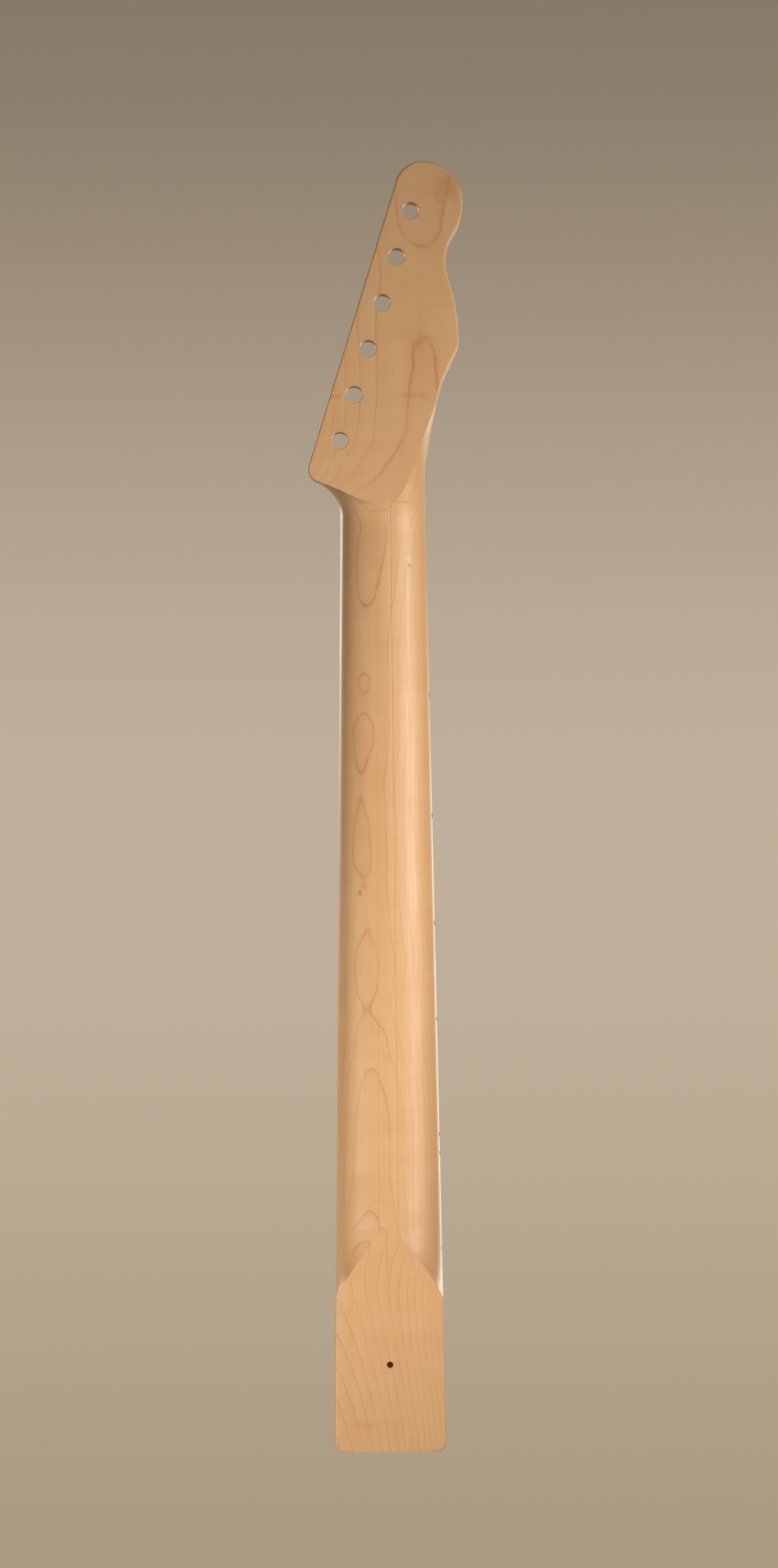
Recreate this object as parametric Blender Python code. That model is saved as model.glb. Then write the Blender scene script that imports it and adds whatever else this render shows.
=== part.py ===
"""Bolt-on electric guitar neck with six tuner holes in a row and a reversed headstock.

A maple blank carries a glued maple fingerboard with frets, nut and position dots, and a two-way
truss rod lies in a channel between them. All lengths are in metres.

Frame: +Z runs up the neck to the headstock, the back of the neck faces -Y and the fingerboard +Y,
and the bass side with the side dots is at +X. The back of the heel lies at y = 0, and the origin is
the centre of the usual four-screw pattern on it. Along the neck, places are given as u, the
distance past the fingerboard side of the nut, positive towards the headstock.
"""

import math

import bmesh
import bpy
from mathutils import Matrix

# Clearance between pieces that are glued, pressed or screwed together
FIT = 0.0003

# Fingerboard and scale
SCALE_LENGTH = 0.6477
FRET_COUNT = 21
NUT_WIDTH = 0.0430
HEEL_WIDTH = 0.0565
BOARD_RADIUS = 0.2413
BOARD_THICKNESS = 0.00635
LAST_FRET_MARGIN = 0.0129

# Blank: thickness with the board on, heel and the hollow runs into heel and headstock
FIRST_FRET_THICKNESS = 0.0210
TWELFTH_FRET_THICKNESS = 0.0235
HEEL_THICKNESS = 0.0254
HEEL_CORNER_RADIUS = 0.0050
HEEL_FLAT_LENGTH = 0.0770
HEEL_BLEND_LENGTH = 0.0390
HEEL_RISE_LENGTH = 0.0270
HEEL_BLEND_POWER = 1.2
BACK_FULLNESS = 2.1
SCREW_CENTRE_TO_END = 0.0381
PILOT_TO_END = 0.0438
PILOT_DIAMETER = 0.0032
PILOT_DEPTH = 0.0065

# Headstock plate
HEAD_LENGTH = 0.1819
HEAD_THICKNESS = 0.0143
HEAD_DROP = 0.0087
RAMP_RADIUS = 0.0200
RAMP_START = 0.0050
HEAD_RISE_LENGTH = 0.0150
HEAD_BLEND_START = 0.0095
TUNER_SIDE_BLEND = 0.0110
PLAIN_SIDE_BLEND = 0.0505
HEAD_RISE_POWER = 2
TUNER_BLEND_POWER = 0.45
PLAIN_BLEND_POWER = 0.35

# Headstock outline: straight tuner edge at -X
TUNER_EDGE_ANGLE = math.radians(17.56)
TUNER_EDGE_AT_NUT = 0.0466
SCOOP_START = 0.0038
SCOOP_RADIUS = 0.0184
EAR_RADIUS = 0.0065
TIP_CREST = 0.0213
BULB_RADIUS = 0.0203

# Headstock outline: plain side at +X, as (u, distance past half the nut width) up to the horn, then
# as (u, distance from the centre line) round the horn and the waist to the bulb
PLAIN_SWEEP = (
    (0.0150, 0.0001),
    (0.0280, 0.0006),
    (0.0430, 0.0026),
    (0.0590, 0.0059),
    (0.0710, 0.0092),
    (0.0800, 0.0132),
)
PLAIN_HORN = (
    (0.0870, 0.0381),
    (0.0887, 0.0388),
    (0.0902, 0.0390),
    (0.0980, 0.0388),
    (0.1080, 0.0377),
    (0.1160, 0.0360),
    (0.1230, 0.0341),
    (0.1270, 0.0330),
    (0.1310, 0.0327),
    (0.1360, 0.0332),
    (0.1400, 0.0343),
    (0.1435, 0.0359),
    (0.1465, 0.0376),
    (0.1500, 0.0394),
    (0.1540, 0.0407),
    (0.1575, 0.0414),
)

# Tuner holes, counted from the one next to the nut
TUNER_COUNT = 6
TUNER_HOLE_DIAMETER = 0.00873
TUNER_PITCH = 0.02425
TUNER_EDGE_DISTANCE = 0.0114
FIRST_TUNER_U = 0.0414

# Nut and strings
NUT_THICKNESS = 0.0033
NUT_HEIGHT = 0.0046
NUT_SEAT_DEPTH = 0.0030
NUT_INSET = 0.0003
NUT_TOP_FALL = 0.0005
STRING_EDGE_MARGIN = 0.0035
STRING_CLEARANCE = 0.0002
STRING_DIAMETERS = (0.00025, 0.00033, 0.00043, 0.00066, 0.00091, 0.00117)

# Frets
CROWN_WIDTH = 0.0024
CROWN_HEIGHT = 0.0011
TANG_WIDTH = 0.0005
TANG_DEPTH = 0.0016
FRET_INSET = 0.0003
FRET_END_ANGLE = math.radians(33)

# Position dots
SINGLE_DOT_FRETS = (3, 5, 7, 9, 15, 17, 19, 21)
DOUBLE_DOT_FRETS = (12, 24)
FACE_DOT_DIAMETER = 0.00635
FACE_DOT_THICKNESS = 0.0015
FACE_DOT_SPREAD = 0.0210
SIDE_DOT_DIAMETER = 0.0024
SIDE_DOT_LENGTH = 0.0030
SIDE_DOT_SPREAD = 0.0095
SIDE_DOT_BEHIND_GLUE = 0.0007
SIDE_DOT_INSET = 0.0001

# Two-way truss rod
ROD_DIAMETER = 0.00476
ROD_PITCH = 0.000794
ROD_TURNS = 1
ROD_UNDER_BOARD = 0.0034
ROD_NUT_DIAMETER = 0.0063
ROD_NUT_LENGTH = 0.0120
ROD_NUT_REACH = 0.0088
HEX_KEY_SIZE = 0.0040
HEX_SOCKET_DEPTH = 0.0055
SOCKET_FLOOR = 0.0010
BLOCK_WIDTH = 0.0063
BLOCK_HEIGHT = 0.0100
BLOCK_LENGTH = 0.0120
BAR_WIDTH = 0.0044
BAR_THICKNESS = 0.0030
BAR_TO_ROD = 0.0004
KEY_SLOT_DIAMETER = 0.0076
KEY_SLOT_END = 0.0260
WOOD_PAST_ROD = 0.0180

# Fineness of the faceted surfaces
SIDE_STEPS = 8
FLAT_STEPS = 4
BOARD_STEPS = 12
FRET_STEPS = 6
CROWN_STEPS = 4
ROUND_SIDES = 24
SMALL_SIDES = 12
OVERCUT = 0.0020
CORNER_ANGLES = [math.radians(a) for a in (0, 20, 40, 60, 80)]
TIP_ANGLES = [math.radians(a) for a in (0, 18, 36, 52, 66, 78, 85)]
LEAST_STATION_GAP = 0.0003
SMOOTH_ANGLE = math.radians(30)
LEAST_SPLIT = 0.18
LEAST_SIDE_ANGLE = math.radians(0.8)


def fret_u(number):
    """Place of a fret along the neck."""
    return -SCALE_LENGTH * (1 - 2 ** (-number / 12))


def between_frets(number):
    """Middle of the space behind a fret, where its dot sits."""
    return (fret_u(number) + fret_u(number - 1)) / 2


NECK_LENGTH = LAST_FRET_MARGIN - fret_u(FRET_COUNT)
NUT_Z = NECK_LENGTH - SCREW_CENTRE_TO_END
BOARD_TOP = HEEL_THICKNESS
BOARD_BOTTOM = HEEL_THICKNESS - BOARD_THICKNESS
BLANK_FRONT = BOARD_BOTTOM - FIT
HEAD_FACE = BOARD_TOP - HEAD_DROP
HEAD_BACK = HEAD_FACE - HEAD_THICKNESS
HALF_NUT = NUT_WIDTH / 2

ROD_Y = BOARD_BOTTOM - FIT - ROD_UNDER_BOARD
BLOCK_TOP = BOARD_BOTTOM - FIT
BLOCK_TRAVEL = ROD_PITCH * ROD_TURNS
ROD_NUT_FOOT = ROD_NUT_REACH - ROD_NUT_LENGTH
ROD_SEAT_DEPTH = ROD_NUT_LENGTH - HEX_SOCKET_DEPTH - SOCKET_FLOOR
CHANNEL_END = WOOD_PAST_ROD - NECK_LENGTH
ROD_END = CHANNEL_END + FIT
HEAD_BLOCK_U = ROD_NUT_FOOT - BLOCK_TRAVEL - FIT - BLOCK_LENGTH / 2
HEEL_BLOCK_U = ROD_END + BLOCK_TRAVEL + FIT + BLOCK_LENGTH / 2
CHANNEL_WIDTH = BLOCK_WIDTH + 2 * FIT
CHANNEL_FLOOR = BLOCK_TOP - BLOCK_HEIGHT - FIT


def spaced(start, end, count):
    """Places from start up to, but not including, end."""
    return [start + (end - start) * i / count for i in range(count)]


def eased(share):
    """Smooth step from 0 to 1."""
    share = min(max(share, 0.0), 1.0)
    return share * share * (3 - 2 * share)


def smooth_curve(points, at):
    """Height of a cubic curve through points, without overshoot between them."""
    places = [p[0] for p in points]
    heights = [p[1] for p in points]
    slopes = [(heights[i + 1] - heights[i]) / (places[i + 1] - places[i]) for i in range(len(points) - 1)]
    tangents = [slopes[0]]
    for before, after in zip(slopes, slopes[1:]):
        level = before * after <= 0
        tangents.append(0.0 if level else 2 * before * after / (before + after))
    tangents.append(slopes[-1])
    i = max(k for k in range(len(points) - 1) if k == 0 or places[k] <= at)
    gap = places[i + 1] - places[i]
    t = min(max((at - places[i]) / gap, 0.0), 1.0)
    start = heights[i] * (1 + 2 * t) * (1 - t) ** 2 + gap * tangents[i] * t * (1 - t) ** 2
    return start + heights[i + 1] * t * t * (3 - 2 * t) + gap * tangents[i + 1] * t * t * (t - 1)


def board_half(u):
    """Half the width of board and blank along the fingerboard, with the heel's round corners."""
    share = max(-u, 0.0) / NECK_LENGTH
    half = HALF_NUT + (HEEL_WIDTH - NUT_WIDTH) / 2 * share
    into_corner = HEEL_CORNER_RADIUS - (u + NECK_LENGTH)
    if into_corner > 0:
        arc = math.sqrt(max(HEEL_CORNER_RADIUS ** 2 - into_corner ** 2, 0.0))
        half -= HEEL_CORNER_RADIUS - arc
    return half


def board_top(x):
    """Height of the radiused playing surface at x."""
    return BOARD_TOP - BOARD_RADIUS + math.sqrt(BOARD_RADIUS ** 2 - x ** 2)


RAMP_FOOT = RAMP_START + math.sqrt(RAMP_RADIUS ** 2 - max(RAMP_RADIUS - HEAD_DROP, 0.0) ** 2)


def ramp_y(u):
    """Front surface of the round ramp from the board down to the headstock face."""
    back = min(max(RAMP_FOOT - u, 0.0), RAMP_RADIUS)
    return HEAD_FACE + RAMP_RADIUS - math.sqrt(RAMP_RADIUS ** 2 - back ** 2)


def ramp_crossing(y):
    """Where the ramp passes the height y."""
    low, high = RAMP_START, RAMP_FOOT
    for _ in range(40):
        middle = (low + high) / 2
        if ramp_y(middle) > y:
            low = middle
        else:
            high = middle
    return low


RAMP_IN_BLANK = ramp_crossing(BLANK_FRONT)
BOARD_TAIL = ramp_crossing(BOARD_BOTTOM) - FIT


class HeadOutline:
    """Both edges of the headstock, worked out from arcs that touch each other."""

    def __init__(self):
        self.sine = math.sin(TUNER_EDGE_ANGLE)
        self.cosine = math.cos(TUNER_EDGE_ANGLE)
        self.slope = self.sine / self.cosine
        reach = TIP_CREST + TUNER_EDGE_AT_NUT - self.slope * HEAD_LENGTH
        self.tip_radius = reach * self.cosine / (1 - self.sine)
        self.tip_u = HEAD_LENGTH - self.tip_radius
        self.scoop_x = -HALF_NUT - SCOOP_RADIUS
        self.ear_x, self.ear_u = self.ear_centre()
        share = SCOOP_RADIUS / (SCOOP_RADIUS + EAR_RADIUS)
        self.ear_start = SCOOP_START + (self.ear_u - SCOOP_START) * share
        self.ear_end = self.ear_u + EAR_RADIUS * self.sine
        self.edge_end = self.tip_u + self.tip_radius * self.sine
        bulb = (HEAD_LENGTH - BULB_RADIUS, TIP_CREST + BULB_RADIUS)
        sweep = [(u, HALF_NUT + past) for u, past in PLAIN_SWEEP]
        self.plain = [(0.0, HALF_NUT), *sweep, *PLAIN_HORN, bulb]

    def ear_centre(self):
        """Centre of the ear's arc, which touches the scoop's arc and the tuner edge."""
        offset = -TUNER_EDGE_AT_NUT + EAR_RADIUS / self.cosine - self.scoop_x
        a = 1 + self.slope ** 2
        b = 2 * (self.slope * offset - SCOOP_START)
        c = offset ** 2 + SCOOP_START ** 2 - (SCOOP_RADIUS + EAR_RADIUS) ** 2
        u = (-b + math.sqrt(max(b * b - 4 * a * c, 0.0))) / (2 * a)
        return self.scoop_x + offset + self.slope * u, u

    def tuner_edge(self, u):
        """X of the edge at the tuner side."""
        if u <= SCOOP_START:
            return -HALF_NUT
        if u <= self.ear_start:
            return self.scoop_x + math.sqrt(SCOOP_RADIUS ** 2 - (u - SCOOP_START) ** 2)
        if u <= self.ear_end:
            return self.ear_x - math.sqrt(max(EAR_RADIUS ** 2 - (u - self.ear_u) ** 2, 0.0))
        if u <= self.edge_end:
            return -TUNER_EDGE_AT_NUT + self.slope * u
        return TIP_CREST - math.sqrt(max(self.tip_radius ** 2 - (u - self.tip_u) ** 2, 0.0))

    def plain_edge(self, u):
        """X of the edge at the plain side."""
        past = u - (HEAD_LENGTH - BULB_RADIUS)
        if past > 0:
            return TIP_CREST + math.sqrt(max(BULB_RADIUS ** 2 - past ** 2, 0.0))
        return smooth_curve(self.plain, u)

    def tuner_place(self, number):
        """Centre (x, u) of a tuner hole, on a line beside the tuner edge."""
        u = FIRST_TUNER_U + number * TUNER_PITCH * self.cosine
        x = -TUNER_EDGE_AT_NUT + self.slope * u + TUNER_EDGE_DISTANCE / self.cosine
        return x, u


HEAD = HeadOutline()


def shaft_depth(u):
    """Depth of the round back behind the blank's front face."""
    first, twelfth = fret_u(1), fret_u(12)
    per_length = (TWELFTH_FRET_THICKNESS - FIRST_FRET_THICKNESS) / (first - twelfth)
    thickness = FIRST_FRET_THICKNESS + (first - u) * per_length
    depth = thickness - BOARD_TOP + BLANK_FRONT
    heel_line = HEEL_FLAT_LENGTH + HEEL_BLEND_LENGTH - NECK_LENGTH
    to_heel = eased((heel_line + HEEL_RISE_LENGTH - u) / HEEL_RISE_LENGTH)
    to_head = min(max((u - HEAD_BLEND_START) / HEAD_RISE_LENGTH + 1, 0.0), 1.0) ** HEAD_RISE_POWER
    depth += to_heel * (BLANK_FRONT - depth)
    return depth + to_head * (BLANK_FRONT - HEAD_BACK - depth)


def flat_share(u, plain_side):
    """Share of the half width that the flat back takes, where heel or headstock cut the round."""
    heel_line = HEEL_FLAT_LENGTH + HEEL_BLEND_LENGTH - NECK_LENGTH
    if u < heel_line:
        into = min((heel_line - u) / HEEL_BLEND_LENGTH, 1.0)
        return 1 - (1 - into) ** HEEL_BLEND_POWER
    if u > HEAD_BLEND_START:
        length = PLAIN_SIDE_BLEND if plain_side else TUNER_SIDE_BLEND
        into = min((u - HEAD_BLEND_START) / length, 1.0)
        return into ** (PLAIN_BLEND_POWER if plain_side else TUNER_BLEND_POWER)
    return 0.0


def spine_x(u):
    """X that a section's two halves meet at: the centre line, or the headstock's own middle higher up."""
    past_blend = u - HEAD_BLEND_START - PLAIN_SIDE_BLEND
    if past_blend <= 0:
        return 0.0
    return eased(past_blend / PLAIN_SIDE_BLEND) * (HEAD.plain_edge(u) + HEAD.tuner_edge(u)) / 2


def blank_half(u, plain_side):
    """Half width of the blank on one side."""
    if u < 0:
        return board_half(u)
    return HEAD.plain_edge(u) - spine_x(u) if plain_side else spine_x(u) - HEAD.tuner_edge(u)


def blank_side(u, plain_side):
    """Points (distance from the spine, y) down one side of the blank and in over its back."""
    half = blank_half(u, plain_side)
    deepest = shaft_depth(u)
    flat = flat_share(u, plain_side)
    split = max(flat, LEAST_SPLIT)
    angle = max(math.acos(split ** (BACK_FULLNESS / 2)), LEAST_SIDE_ANGLE)
    power = 2 / BACK_FULLNESS
    rounded = deepest * math.sin(angle) ** power
    at_split = deepest if flat > LEAST_SPLIT else rounded
    front = BLANK_FRONT - min(ramp_y(u), BLANK_FRONT)
    start = math.asin(min((front / at_split) ** (1 / power) * math.sin(angle), 1.0))
    points = []
    for i in range(SIDE_STEPS + 1):
        turn = start + (angle - start) * i / SIDE_STEPS
        depth = at_split * (math.sin(turn) / math.sin(angle)) ** power
        points.append((half * math.cos(turn) ** power, BLANK_FRONT - depth))
    inner = math.cos(angle) ** power
    for i in range(1, FLAT_STEPS // 2):
        across = inner * (1 - 2 * i / FLAT_STEPS)
        depth = deepest * (1 - across ** BACK_FULLNESS) ** power
        points.append((half * across, BLANK_FRONT - (deepest if flat > LEAST_SPLIT else depth)))
    return points


def blank_ring(u):
    """Outline of the blank across the neck at u, from the front round the back to the front."""
    spine = spine_x(u)
    left = [(spine - x, y) for x, y in blank_side(u, plain_side=False)]
    right = [(spine + x, y) for x, y in blank_side(u, plain_side=True)]
    middle = (spine, BLANK_FRONT - shaft_depth(u))
    return [(x, y, NUT_Z + u) for x, y in [*left, middle, *reversed(right)]]


def corner_stations():
    """Places of the sections through the heel's round corners."""
    return [HEEL_CORNER_RADIUS * (1 - math.cos(angle)) - NECK_LENGTH for angle in CORNER_ANGLES]


def blank_stations():
    """Places of the sections through the blank, closer together where it changes fast."""
    corner_end = HEEL_CORNER_RADIUS - NECK_LENGTH
    flat_end = HEEL_FLAT_LENGTH - NECK_LENGTH
    heel_line = flat_end + HEEL_BLEND_LENGTH
    rise_end = heel_line + HEEL_RISE_LENGTH
    rise_start = HEAD_BLEND_START - HEAD_RISE_LENGTH
    blend_end = HEAD_BLEND_START + TUNER_SIDE_BLEND
    rows = [*corner_stations(), *spaced(corner_end, flat_end, 3), *spaced(flat_end, heel_line, 10)]
    rows += [*spaced(heel_line, rise_end, 4), *spaced(rise_end, rise_start, 8)]
    rows += [*spaced(rise_start, HEAD_BLEND_START, 5), *spaced(HEAD_BLEND_START, blend_end, 8)]
    rows += [*spaced(blend_end, HEAD.ear_end, 5), *spaced(HEAD.ear_end, PLAIN_HORN[0][0], 9)]
    rows += [*spaced(PLAIN_HORN[0][0], PLAIN_HORN[2][0], 3), *spaced(PLAIN_HORN[2][0], HEAD.edge_end, 16)]
    tip = HEAD_LENGTH - HEAD.edge_end
    rows += [HEAD.edge_end + tip * math.sin(angle) for angle in TIP_ANGLES]
    rows += [RAMP_IN_BLANK, RAMP_FOOT, 0.0]
    kept = []
    for row in sorted(rows):
        if not kept or row - kept[-1] > LEAST_STATION_GAP:
            kept.append(row)
    return kept


def board_ring(u):
    """Outline of the board across the neck at u."""
    half = board_half(u)
    ring = [(-half, BOARD_BOTTOM), (half, BOARD_BOTTOM)]
    for i in range(BOARD_STEPS + 1):
        x = half * (1 - 2 * i / BOARD_STEPS)
        ring.append((x, min(board_top(x), ramp_y(u)) if u > RAMP_START else board_top(x)))
    return [(x, y, NUT_Z + u) for x, y in ring]


def board_stations():
    """Places of the sections through the board."""
    rows = [*corner_stations(), *spaced(HEEL_CORNER_RADIUS - NECK_LENGTH, 0.0, 6), 0.0]
    return [*rows, *spaced(RAMP_START, BOARD_TAIL, 7), BOARD_TAIL]


def bent_bar(profile, half, end_angle=0.0):
    """Rings of a bar with this (height, along) profile, bent to the board's radius."""
    rings = []
    for i in range(FRET_STEPS + 1):
        share = 2 * i / FRET_STEPS - 1
        ring = []
        for height, along in profile:
            x = share * half
            if abs(share) == 1:
                x -= share * max(height, 0.0) * math.tan(end_angle)
            ring.append((x, board_top(x) + height, along))
        rings.append(ring)
    return rings


def fret_profile():
    """Crown and tang of the fretwire, seated on the board."""
    turns = [math.pi * i / CROWN_STEPS for i in range(CROWN_STEPS + 1)]
    crown = [(CROWN_HEIGHT * math.sin(turn), -CROWN_WIDTH / 2 * math.cos(turn)) for turn in turns]
    tang = [(0.0, TANG_WIDTH / 2), (-TANG_DEPTH, TANG_WIDTH / 2)]
    tang += [(-TANG_DEPTH, -TANG_WIDTH / 2), (0.0, -TANG_WIDTH / 2)]
    return [(height + FIT, along) for height, along in crown + tang]


def loft(name, rings):
    """Closed mesh through rings of equally many points, capped at both ends."""
    shape = bmesh.new()
    layers = [[shape.verts.new(point) for point in ring] for ring in rings]
    for low, high in zip(layers, layers[1:]):
        for i, point in enumerate(low):
            j = (i + 1) % len(low)
            shape.faces.new((point, low[j], high[j], high[i]))
    shape.faces.new(layers[0][::-1])
    shape.faces.new(layers[-1])
    bmesh.ops.recalc_face_normals(shape, faces=shape.faces)
    return finished_mesh(name, shape)


def finished_mesh(name, shape):
    """The bmesh as a smooth-shaded mesh with sharp corners."""
    mesh = bpy.data.meshes.new(name)
    shape.to_mesh(mesh)
    shape.free()
    mesh.shade_smooth()
    mesh.set_sharp_from_angle(angle=SMOOTH_ANGLE)
    return mesh


def box(name, size):
    """Box of this size round its own origin."""
    shape = bmesh.new()
    bmesh.ops.create_cube(shape, size=1.0, matrix=Matrix.Diagonal((*size, 1.0)))
    return finished_mesh(name, shape)


def cylinder(name, diameter, length, sides=ROUND_SIDES, across_flats=False):
    """Cylinder along Z round its own origin, or a prism of this width across its flats."""
    radius = diameter / 2
    if across_flats:
        radius /= math.cos(math.pi / sides)
    shape = bmesh.new()
    bmesh.ops.create_cone(
        shape, cap_ends=True, segments=sides, radius1=radius, radius2=radius, depth=length
    )
    return finished_mesh(name, shape)


def finish(name, colour, roughness, metallic=0.0):
    """Principled material."""
    material = bpy.data.materials.new(name)
    material.use_nodes = True
    shader = material.node_tree.nodes["Principled BSDF"]
    shader.inputs["Base Color"].default_value = (*colour, 1.0)
    shader.inputs["Roughness"].default_value = roughness
    shader.inputs["Metallic"].default_value = metallic
    material.diffuse_color = (*colour, 1.0)
    return material


def place(mesh, material, collection, location=(0.0, 0.0, 0.0), rotation=(0.0, 0.0, 0.0), parent=None):
    """One named piece of the neck."""
    piece = bpy.data.objects.new(mesh.name, mesh)
    collection.objects.link(piece)
    piece.location = location
    piece.rotation_euler = rotation
    piece.parent = parent
    if material:
        mesh.materials.append(material)
    return piece


def cutter(mesh, collection, location, rotation=(0.0, 0.0, 0.0)):
    """A shape that is only cut away from another piece."""
    tool = place(mesh, None, collection, location, rotation)
    tool.hide_render = True
    tool.display_type = "WIRE"
    return tool


def cut(piece, collection):
    """Cuts every shape of the collection out of the piece."""
    modifier = piece.modifiers.new("cuts", "BOOLEAN")
    modifier.operation = "DIFFERENCE"
    modifier.operand_type = "COLLECTION"
    modifier.collection = collection
    modifier.solver = "EXACT"
    shading = piece.modifiers.new("flat_faces_stay_flat", "WEIGHTED_NORMAL")
    shading.keep_sharp = True


def cutter_collection(name, parent):
    """Collection for the shapes cut out of one piece."""
    collection = bpy.data.collections.new(name)
    parent.children.link(collection)
    collection.hide_render = True
    return collection


def dot_frets():
    """(fret, side offset share) for each dot: one in the middle, or a pair at the octave."""
    singles = [(fret, 0) for fret in SINGLE_DOT_FRETS if fret <= FRET_COUNT]
    pairs = [(fret, side) for fret in DOUBLE_DOT_FRETS if fret <= FRET_COUNT for side in (-1, 1)]
    return sorted(singles + pairs)


def dot_suffix(fret, side):
    """Ending of a dot's name."""
    return f"{fret:02d}" + {-1: "_a", 0: "", 1: "_b"}[side]


def make_blank(parts, tools, material):
    """Shaft, headstock and heel in one piece of maple, with its holes and channel."""
    blank = place(loft("neck_blank", [blank_ring(u) for u in blank_stations()]), material, parts)
    cuts = cutter_collection("blank_cuts", tools)
    middle = (HEAD_FACE + HEAD_BACK) / 2
    through = HEAD_THICKNESS + 2 * OVERCUT
    for number in range(TUNER_COUNT):
        x, u = HEAD.tuner_place(number)
        hole = cylinder(f"tuner_hole_{number + 1}", TUNER_HOLE_DIAMETER, through)
        cutter(hole, cuts, (x, middle, NUT_Z + u), (math.pi / 2, 0, 0))
    pilot = cylinder("pilot_hole", PILOT_DIAMETER, PILOT_DEPTH + OVERCUT, SMALL_SIDES)
    pilot_y = (PILOT_DEPTH - OVERCUT) / 2
    cutter(pilot, cuts, (0, pilot_y, PILOT_TO_END - SCREW_CENTRE_TO_END), (math.pi / 2, 0, 0))
    channel_length = ROD_NUT_FOOT - CHANNEL_END
    channel_depth = BLANK_FRONT - CHANNEL_FLOOR + OVERCUT
    channel = box("rod_channel", (CHANNEL_WIDTH, channel_depth, channel_length))
    channel_y = CHANNEL_FLOOR + channel_depth / 2
    cutter(channel, cuts, (0, channel_y, NUT_Z + CHANNEL_END + channel_length / 2))
    slot_length = KEY_SLOT_END - ROD_NUT_FOOT + BLOCK_LENGTH / 2
    slot = cylinder("key_slot", KEY_SLOT_DIAMETER, slot_length)
    cutter(slot, cuts, (0, ROD_Y, NUT_Z + KEY_SLOT_END - slot_length / 2))
    roof = box("key_slot_roof", (KEY_SLOT_DIAMETER, BLANK_FRONT - ROD_Y + OVERCUT, slot_length))
    roof_y = ROD_Y + (BLANK_FRONT - ROD_Y + OVERCUT) / 2
    cutter(roof, cuts, (0, roof_y, NUT_Z + KEY_SLOT_END - slot_length / 2))
    side_dot_pockets(cuts, "blank")
    cut(blank, cuts)


def side_dot_place(fret, side):
    """Centre of a side dot."""
    u = between_frets(fret) + side * SIDE_DOT_SPREAD / 2
    x = board_half(u) - SIDE_DOT_INSET - SIDE_DOT_LENGTH / 2
    return x, BOARD_BOTTOM - SIDE_DOT_BEHIND_GLUE, NUT_Z + u


def side_dot_pockets(cuts, owner):
    """Pockets that hold the side dots, half in the board and half in the blank."""
    for fret, side in dot_frets():
        x, y, z = side_dot_place(fret, side)
        length = SIDE_DOT_LENGTH + FIT + OVERCUT
        name = f"{owner}_side_pocket_{dot_suffix(fret, side)}"
        pocket = cylinder(name, SIDE_DOT_DIAMETER + 2 * FIT, length, SMALL_SIDES)
        cutter(pocket, cuts, (x + (OVERCUT - FIT) / 2, y, z), (0, math.pi / 2, 0))


def face_dot_place(fret, side):
    """Place of a face dot's top and its lean on the radius."""
    x = side * FACE_DOT_SPREAD / 2
    lean = math.asin(x / BOARD_RADIUS)
    return x, board_top(x), NUT_Z + between_frets(fret), lean


def sunk(x, y, z, lean, depth):
    """Point this deep under the board's surface."""
    return x - depth * math.sin(lean), y - depth * math.cos(lean), z


def make_board(parts, tools, material):
    """Glued fingerboard with slots for frets and nut and pockets for the dots."""
    board = place(loft("fretboard", [board_ring(u) for u in board_stations()]), material, parts)
    cuts = cutter_collection("board_cuts", tools)
    width = TANG_WIDTH / 2 + FIT
    low, high = -TANG_DEPTH, CROWN_HEIGHT
    profile = [(low, -width), (high, -width), (high, width), (low, width)]
    for number in range(1, FRET_COUNT + 1):
        u = fret_u(number)
        rings = bent_bar(profile, board_half(u) + OVERCUT)
        cutter(loft(f"fret_slot_{number:02d}", rings), cuts, (0, 0, NUT_Z + u))
    seat_y = BOARD_TOP - NUT_SEAT_DEPTH - FIT
    seat = box("nut_seat", (NUT_WIDTH + 2 * OVERCUT, 2 * OVERCUT + NUT_SEAT_DEPTH, NUT_THICKNESS + 2 * FIT))
    cutter(seat, cuts, (0, seat_y + OVERCUT + NUT_SEAT_DEPTH / 2, NUT_Z + NUT_THICKNESS / 2))
    for fret, side in dot_frets():
        x, y, z, lean = face_dot_place(fret, side)
        length = FACE_DOT_THICKNESS + FIT + OVERCUT
        name = f"face_pocket_{dot_suffix(fret, side)}"
        pocket = cylinder(name, FACE_DOT_DIAMETER + 2 * FIT, length)
        centre = sunk(x, y, z, lean, (FACE_DOT_THICKNESS + FIT - OVERCUT) / 2)
        cutter(pocket, cuts, centre, (math.pi / 2, 0, -lean))
    side_dot_pockets(cuts, "board")
    cut(board, cuts)


def make_frets(parts, material):
    """One piece of fretwire for each slot."""
    for number in range(1, FRET_COUNT + 1):
        u = fret_u(number)
        rings = bent_bar(fret_profile(), board_half(u) - FRET_INSET, FRET_END_ANGLE)
        place(loft(f"fret_{number:02d}", rings), material, parts, (0, 0, NUT_Z + u))


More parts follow.
